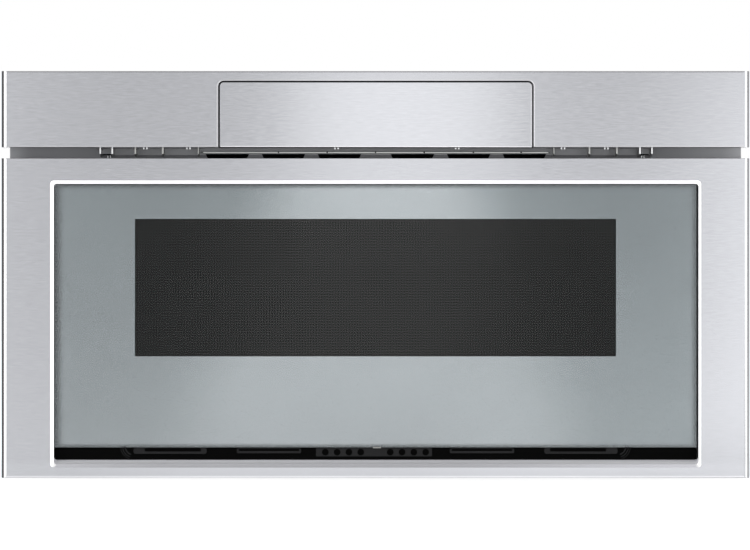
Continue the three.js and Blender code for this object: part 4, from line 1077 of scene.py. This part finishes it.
def beads(name, rows, base, out, axis):
    mesh = bmesh.new()
    for row in rows:
        bead(mesh, *row, base, out, axis)
    return add_piece(name, mesh, zinc, "chassis")


beads("top_beads", [(x - 0.007, x + 0.007, -0.23, 0.16) for x in (-0.23, 0, 0.23)], TOP, 1, "z")
beads("base_beads", [(x - 0.007, x + 0.007, -0.22, 0.14) for x in (-0.2, 0, 0.2)], 0.0, -1, "z")
beads("rear_beads", [(-0.29, 0.29, z - 0.006, z + 0.006) for z in (0.235, 0.325)], BACK, 1, "y")
for sign, word in SIDES:
    rows = [(-0.24, 0.15, z - 0.006, z + 0.006) for z in (0.06, 0.26, 0.33)]
    beads(f"side_beads_{word}", rows, sign * SIDE, sign, "x")
print("beads pressed into the panels")

# %% [markdown]
# A louvre is a slot whose upper lip is pressed outwards, so air gets out and drips don't get in.
# One small section is placed four times, low at both ends and high between them. A row of such
# hoods makes a vent. Cutting real slots would need holes in the CAD panels.

# %% Louvres
def louvre(mesh, place, start, stop, low, high):
    """A hood that leans out over one slot. It runs down to the sheet at both ends."""
    stations = [(start - 0.002, 0.05), (start + 0.004, 1), (stop - 0.004, 1), (stop + 0.002, 0.05)]
    section = [(high + 0.0012, 0), (low + 0.0008, 0.0027), (low + 0.0003, 0.0021), (high, 0)]
    rows = loft(mesh, [[place(along, across, height * share) for across, height in section]
                       for along, share in stations])
    mesh.faces.new(rows[0])
    mesh.faces.new(rows[-1])


def louvres(name, place, start, stop, first, pitch, width, count):
    mesh = bmesh.new()
    for i in range(count):
        louvre(mesh, place, start, stop, first + pitch * i, first + pitch * i + width)
    return add_piece(name, mesh, zinc, "chassis")


for sign, word in SIDES:
    louvres(f"louvres_{word}", lambda a, c, h: (sign * (SIDE + h), a, c), 0.18, 0.255, 0.09, 0.018, 0.005, 8)
louvres("louvres_top", lambda a, c, h: (c, a, TOP + h), 0.2, 0.26, -0.1, 0.02, 0.006, 10)
louvres("louvres_rear", lambda a, c, h: (a, BACK + h, c), -0.21, -0.12, 0.09, 0.016, 0.006, 7)
print("33 louvres")

# %% [markdown]
# The back carries a brass earth screw on a washer, the two screws of the power inlet and a blank
# plate. Brass is the same drawn metal in another colour, and the parts are turned like the others.

# %% Earth screw and plate at the back
brass = drawn_metal("brass", (206, 178, 110), (166, 138, 78), (300, 300, 300), 0.24)
EARTH_SPOT = (0.205, BACK, 0.08)
WASHER = [(0, 0), (0.006, 0), (0.006, 0.0004), (0, 0.0004)]


def back_fittings():
    earth = bmesh.new()
    turned(earth, WASHER, EARTH_SPOT, (0, 1, 0), 24)
    turned(earth, HEXAGON, EARTH_SPOT, (0, 1, 0), 6)
    add_piece("earth_screw", earth, brass, "chassis")
    add_plate("blank_plate", rounded_rectangle(0.16, 0.25, 0.262, 0.312, 0.003), (BACK, BACK + 0.0003),
              foil, "chassis")
    spots = [(0.2265, BACK, 0.0745), (0.2735, BACK, 0.0855)]
    return pan_screws("inlet_screws", spots, (0, 1, 0), "chassis")


back_fittings()
print("fittings at the back")

# %% [markdown]
# ## Behind the open door
# An open drawer shows the back of the door, the slides and the screws that hold the flange to the
# cabinet. Rubber pads soften the closing, and a dark pane shows the food through the door.

# %% Back of the door
DOOR_BACK = -0.303
PANE_BACK = -0.3007
PAD = [(0, 0), (0.0062, 0), (0.0060, 0.0022), (0.0048, 0.0036), (0, 0.0039)]


def door_back():
    spots = [(sign * 0.366, DOOR_BACK, z) for sign in (-1, 1) for z in (0.015, 0.075, 0.235, 0.292)]
    spots += [(x, DOOR_BACK, 0.012) for x in (-0.27, -0.135, 0, 0.135, 0.27)]
    pan_screws("door_back_screws", spots, (0, 1, 0), "drawer")
    feet = [(sign * 0.359, -0.3017, z) for sign in (-1, 1) for z in (0.160, 0.190)]
    pan_screws("arm_foot_screws", feet, (0, 1, 0), "drawer")
    pads = [(x, DOOR_BACK, z) for x in (-0.336, 0.336) for z in (0.022, 0.288)]
    add_turned("door_pads", PAD, pads, (0, 1, 0), 24, rubber, "drawer")
    window = rounded_rectangle(-0.236, 0.236, 0.1, 0.25, 0.008)
    add_plate("inner_window", window, (PANE_BACK, -0.3004), touch_glass, "drawer", edge=0.0001)
    rim = rounded_rectangle(-0.244, 0.244, 0.092, 0.258, 0.012)
    hole = rounded_rectangle(-0.237, 0.237, 0.099, 0.251, 0.0085)
    return add_plate("inner_window_rim", rim, (PANE_BACK, -0.3001), vent_grey, "drawer",
                     [hole], edge=0.0002)


door_back()
print("back of the door finished")

# %% [markdown]
# The food drawer is an enamelled pan with a rolled rim, rounded inner corners and a bead of
# sealant round its ceramic floor. A curve with a round bevel could make the rim too. Rings of
# points along a path keep the number of faces in hand, and the same function lays the sealant.

# %% Tube
def tube(mesh, path, radius, sides=10):
    """A round bead along a path. At each bend its ring lies on the line that halves the corner."""
    path = [Vector(point) for point in path]
    section = arc(0, 0, radius, 0, 360, sides)[:-1]
    loops = []
    for i, point in enumerate(path):
        before = (point - path[i - 1]).normalized() if i else (path[1] - point).normalized()
        after = (path[i + 1] - point).normalized() if i + 1 < len(path) else before
        ahead = (before + after).normalized()
        stretch = 1 / max(ahead.dot(before), 0.3)
        across = ahead.cross(Vector((0, 0, 1))).normalized() * stretch
        loops.append([point + across * u + Vector((0, 0, v)) for u, v in section])
    rows = loft(mesh, loops)
    mesh.faces.new(rows[0])
    mesh.faces.new(rows[-1])


def round_drawer(half, front, back, z, corner=0.006):
    """The way round three sides of the food drawer, with rounded back corners."""
    left = [(x, y, z) for x, y in arc(-half + corner, back - corner, corner, 180, 90, 5)]
    right = [(-x, y, z) for x, y, _ in reversed(left)]
    return [(-half, front, z), *left, *right, (half, front, z)]


# %% Food drawer
def food_drawer():
    rim = bmesh.new()
    tube(rim, round_drawer(0.2548, -0.298, 0.0948, 0.2658), 0.0013)
    add_piece("tray_rolled_rim", rim, oven_enamel, "drawer")
    seam = bmesh.new()
    tube(seam, round_drawer(0.2490, -0.2995, 0.0890, 0.0884, 0.0005), 0.0010, 8)
    add_piece("floor_seam", seam, sealant, "drawer")
    for sign, word in SIDES:
        outline = [(sign * 0.25, 0.09)] + [(sign * x, y) for x, y in arc(0.236, 0.076, 0.014, 0, 90, 8)]
        add_plate(f"tray_corner_{word}", outline, (0.0884, 0.2650), oven_enamel, "drawer",
                  axis="z")


food_drawer()
print("food drawer finished")

# %% [markdown]
# Screws join the drawer's arms to its slides, rubber stops end the travel, and four screws hold
# the flange to the cabinet. Each group is a piece of its own, because they ride on three bodies.

# %% Slides
STOP = box_outline(0.1445, 0.1495, 0.1575, 0.1875, 0.001)
for sign, word in SIDES:
    arm_spots = [(sign * 0.3422, y, 0.1725) for y in (-0.27, -0.17, -0.07, 0.03, 0.125)]
    pan_screws(f"arm_screws_{word}", arm_spots, (-sign, 0, 0), "drawer")
    add_plate(f"slide_stop_{word}", STOP, (sign * 0.3445, sign * 0.3475), rubber, "middle_rails",
              edge=0.0002, axis="x")
mount_spots = [(sign * 0.365, -0.298, z) for sign in (-1, 1) for z in (0.06, 0.32)]
pan_screws("mounting_screws", mount_spots, (0, -1, 0), "chassis")
print("slide screws and mounting screws")

# %% [markdown]
# ## Touch panel
# The flap tilts out to show a sloping glass with printed keys and a clock. Digits made of seven
# short bars are the plain way to write numbers. Each bar is a thin plate on the sloping face.

# %% Marks on the sloping glass
GLASS_FRONT = Vector((0, -0.340, 0.3834))
GLASS_RISE = (Vector((0, -0.2965, 0.3665)) - GLASS_FRONT).normalized()
GLASS_OUT = Vector((1, 0, 0)).cross(GLASS_RISE)
BARS = {  # how far across and up, and whether the bar stands
    "a": (0.5, 2, 0), "b": (1, 1.5, 1), "c": (1, 0.5, 1), "d": (0.5, 0, 0), "e": (0, 0.5, 1),
    "f": (0, 1.5, 1), "g": (0.5, 1, 0)}
DIGITS = ["abcdef", "bc", "abged", "abgcd", "fgbc", "afgcd", "afgedc", "abc", "abcdefg", "abcdfg"]


def mark(mesh, outline):
    """A printed shape. Its points are metres across from the middle and up from the glass's front edge."""
    place = [[GLASS_FRONT + Vector((u, 0, 0)) + GLASS_RISE * v + GLASS_OUT * lift for u, v in outline]
             for lift in (0.00002, 0.0001)]
    rows = loft(mesh, place)
    mesh.faces.new(rows[-1])
    mesh.faces.new(rows[0])


def digit(mesh, figure, u, v, size, thick):
    for bar in DIGITS[figure]:
        across, up, stands = BARS[bar]
        x, y = u + (across - 0.5) * size * 0.5, v + (up - 1) * size * 0.5
        long, wide = size * 0.21, thick / 2
        half_x, half_y = (wide, long) if stands else (long, wide)
        mark(mesh, rectangle(x - half_x, x + half_x, y - half_y, y + half_y))


def ring(mesh, u, v, radius, thick, steps=28):
    outer = arc(u, v, radius, 0, 360, steps)
    inner = arc(u, v, radius - thick, 0, 360, steps)
    for i in range(steps):
        mark(mesh, [outer[i], outer[i + 1], inner[i + 1], inner[i]])


print("the glass leans back by", round(math.degrees(GLASS_OUT.angle(Vector((0, 0, 1))))), "degrees")

# %% [markdown]
# The panel has ten number keys, six keys with plain signs and a clock. The clock's own finish gives
# off a little light, which is simpler than a lamp behind it and shows in mirrors as well.

# %% Keys and clock
display_blue = skin("display_blue", (150, 214, 226), (132, 200, 214), 900, 0.4)
glow = display_blue.node_tree.nodes["Principled BSDF"].inputs
glow["Emission Color"].default_value = (0.3, 0.75, 0.9, 1)
glow["Emission Strength"].default_value = 0.35
KEY_ROWS = (0.032, 0.0145)  # up from the glass's front edge
KEY_SIGNS = [  # start, stop, more, less, open, close
    [[(-0.0016, -0.0022), (0.0024, 0), (-0.0016, 0.0022)]],
    [rectangle(-0.0018, 0.0018, -0.0018, 0.0018)],
    [rectangle(-0.0022, 0.0022, -0.0004, 0.0004), rectangle(-0.0004, 0.0004, 0.0005, 0.0022),
     rectangle(-0.0004, 0.0004, -0.0022, -0.0005)],
    [rectangle(-0.0022, 0.0022, -0.0004, 0.0004)],
    [[(-0.0022, 0.0012), (0, -0.0018), (0.0022, 0.0012)]],
    [[(-0.0022, -0.0012), (0.0022, -0.0012), (0, 0.0018)]],
]


def touch_panel():
    keys = bmesh.new()
    for i in range(10):
        u, v = -0.130 + 0.0165 * (i % 5), KEY_ROWS[i // 5]
        digit(keys, (i + 1) % 10, u, v, 0.0088, 0.0010)
    for i, sign in enumerate(KEY_SIGNS):
        u, v = 0.072 + 0.021 * (i % 3), KEY_ROWS[i // 3]
        ring(keys, u, v, 0.0068, 0.0005)
        for shape in sign:
            mark(keys, [(u + x, v + y) for x, y in shape])
    add_piece("key_print", keys, print_white, "control_flap")
    clock = bmesh.new()
    for figure, u in zip((1, 2, 0, 0), (-0.0205, -0.0085, 0.0105, 0.0225)):
        digit(clock, figure, u, 0.0235, 0.0135, 0.0013)
    for v in (0.0205, 0.0265):
        mark(clock, rectangle(0.0002, 0.0016, v - 0.0007, v + 0.0007))
    return add_piece("clock_display", clock, display_blue, "control_flap")


touch_panel()
print("ten number keys, six sign keys and a clock")

# %% [markdown]
# ## Floor and light
# A plain white floor stands just under the door. It is lit like the object, and a little extra
# brightness that only the camera and mirrors see lifts it to white without lighting anything.

# %% Floor
FLOOR = -0.0172


def rays(finish):
    """Three values, each 1 where that kind of ray is the one that looks."""
    path = finish.node("LightPath").socket.node
    kinds = ("Is Camera Ray", "Is Glossy Ray", "Is Transmission Ray")
    return [Wire(finish, path.outputs[kind]) for kind in kinds]


def add_floor():
    mesh = bmesh.new()
    bmesh.ops.create_grid(mesh, x_segments=8, y_segments=8, size=12)
    data = bpy.data.meshes.new("floor")
    mesh.to_mesh(data)
    mesh.free()
    floor = bpy.data.objects.new("floor", data)
    floor.location = (0, 0, FLOOR)
    bpy.context.scene.collection.objects.link(floor)
    finish = Finish("floor")
    camera_ray, mirrored, through = rays(finish)
    data.materials.append(finish.surface(
        base_color=grey(0.86),
        roughness=0.9,
        emission_color=grey(1.0),
        emission_strength=camera_ray * 0.46 + (mirrored + through) * 0.72,
    ))
    return floor


add_floor()
print("floor at", FLOOR, "m")

# %% [markdown]
# The world is an even white sky, like the white walls of a studio. It looks brighter to the camera
# and in mirrors than it shines on dull surfaces. So the ground stays white, and the shading of the
# box keeps its depth.

# %% World
def add_world():
    """A white sky, brighter to the camera and to mirrors than as light on dull surfaces."""
    sky = Finish("studio", "worlds", "Background")
    bpy.context.scene.world = sky.block
    camera_ray, mirrored, through = rays(sky)
    seen = camera_ray.sum("MAXIMUM", camera_ray.sum("MAXIMUM", camera_ray, mirrored), through)
    sky.surface(color=grey(1.0), strength=seen * 0.38 + 0.62)
    return sky.block


print("world:", add_world().name)

# %% [markdown]
# Large lit panels stand for the soft boxes of a studio: two in front, one at each side, a low one
# at the right and one above. Their mirror images make the soft bands on the steel. The power is
# worked out from a panel's area, so that a larger panel is as bright as a small one.

# %% Lamps
def add_panel(name, place, aim, width, height, power):
    lamp = bpy.data.lights.new(name, "AREA")
    lamp.shape = "RECTANGLE"
    lamp.size = width
    lamp.size_y = height
    lamp.energy = power
    panel = bpy.data.objects.new(name, lamp)
    panel.location = place
    panel.rotation_euler = (Vector(aim) - Vector(place)).to_track_quat("-Z", "Y").to_euler()
    panel.visible_camera = False
    bpy.context.scene.collection.objects.link(panel)
    return panel


LAMPS = [  # place, aim, width, height, radiance
    ("upper front panel", (0.03, -1.2, 0.4), (0.03, 0, 0.4), 0.25, 0.4, 0.9),
    ("lower front panel", (0.0, -1.2, 0.06), (0.0, 0, 0.06), 0.5, 0.26, 0.4),
    ("left panel", (-0.91, -1.25, 0.5), (0, -0.1, 0.2), 0.9, 1.3, 1.35),
    ("right panel", (0.84, -1.25, 0.12), (0, -0.1, 0.15), 1.08, 0.8, 1.24),
    ("low right panel", (0.36, -1.2, 0.02), (0.36, 0, 0.0), 0.5, 0.07, 0.6),
    ("top panel", (0.2, 0.4, 2.2), (0, 0, 0.2), 1.6, 1.6, 1.4),
]
for name, place, aim, width, height, radiance in LAMPS:
    add_panel(name, place, aim, width, height, radiance * math.pi * width * height)
print(len(LAMPS), "lamps")
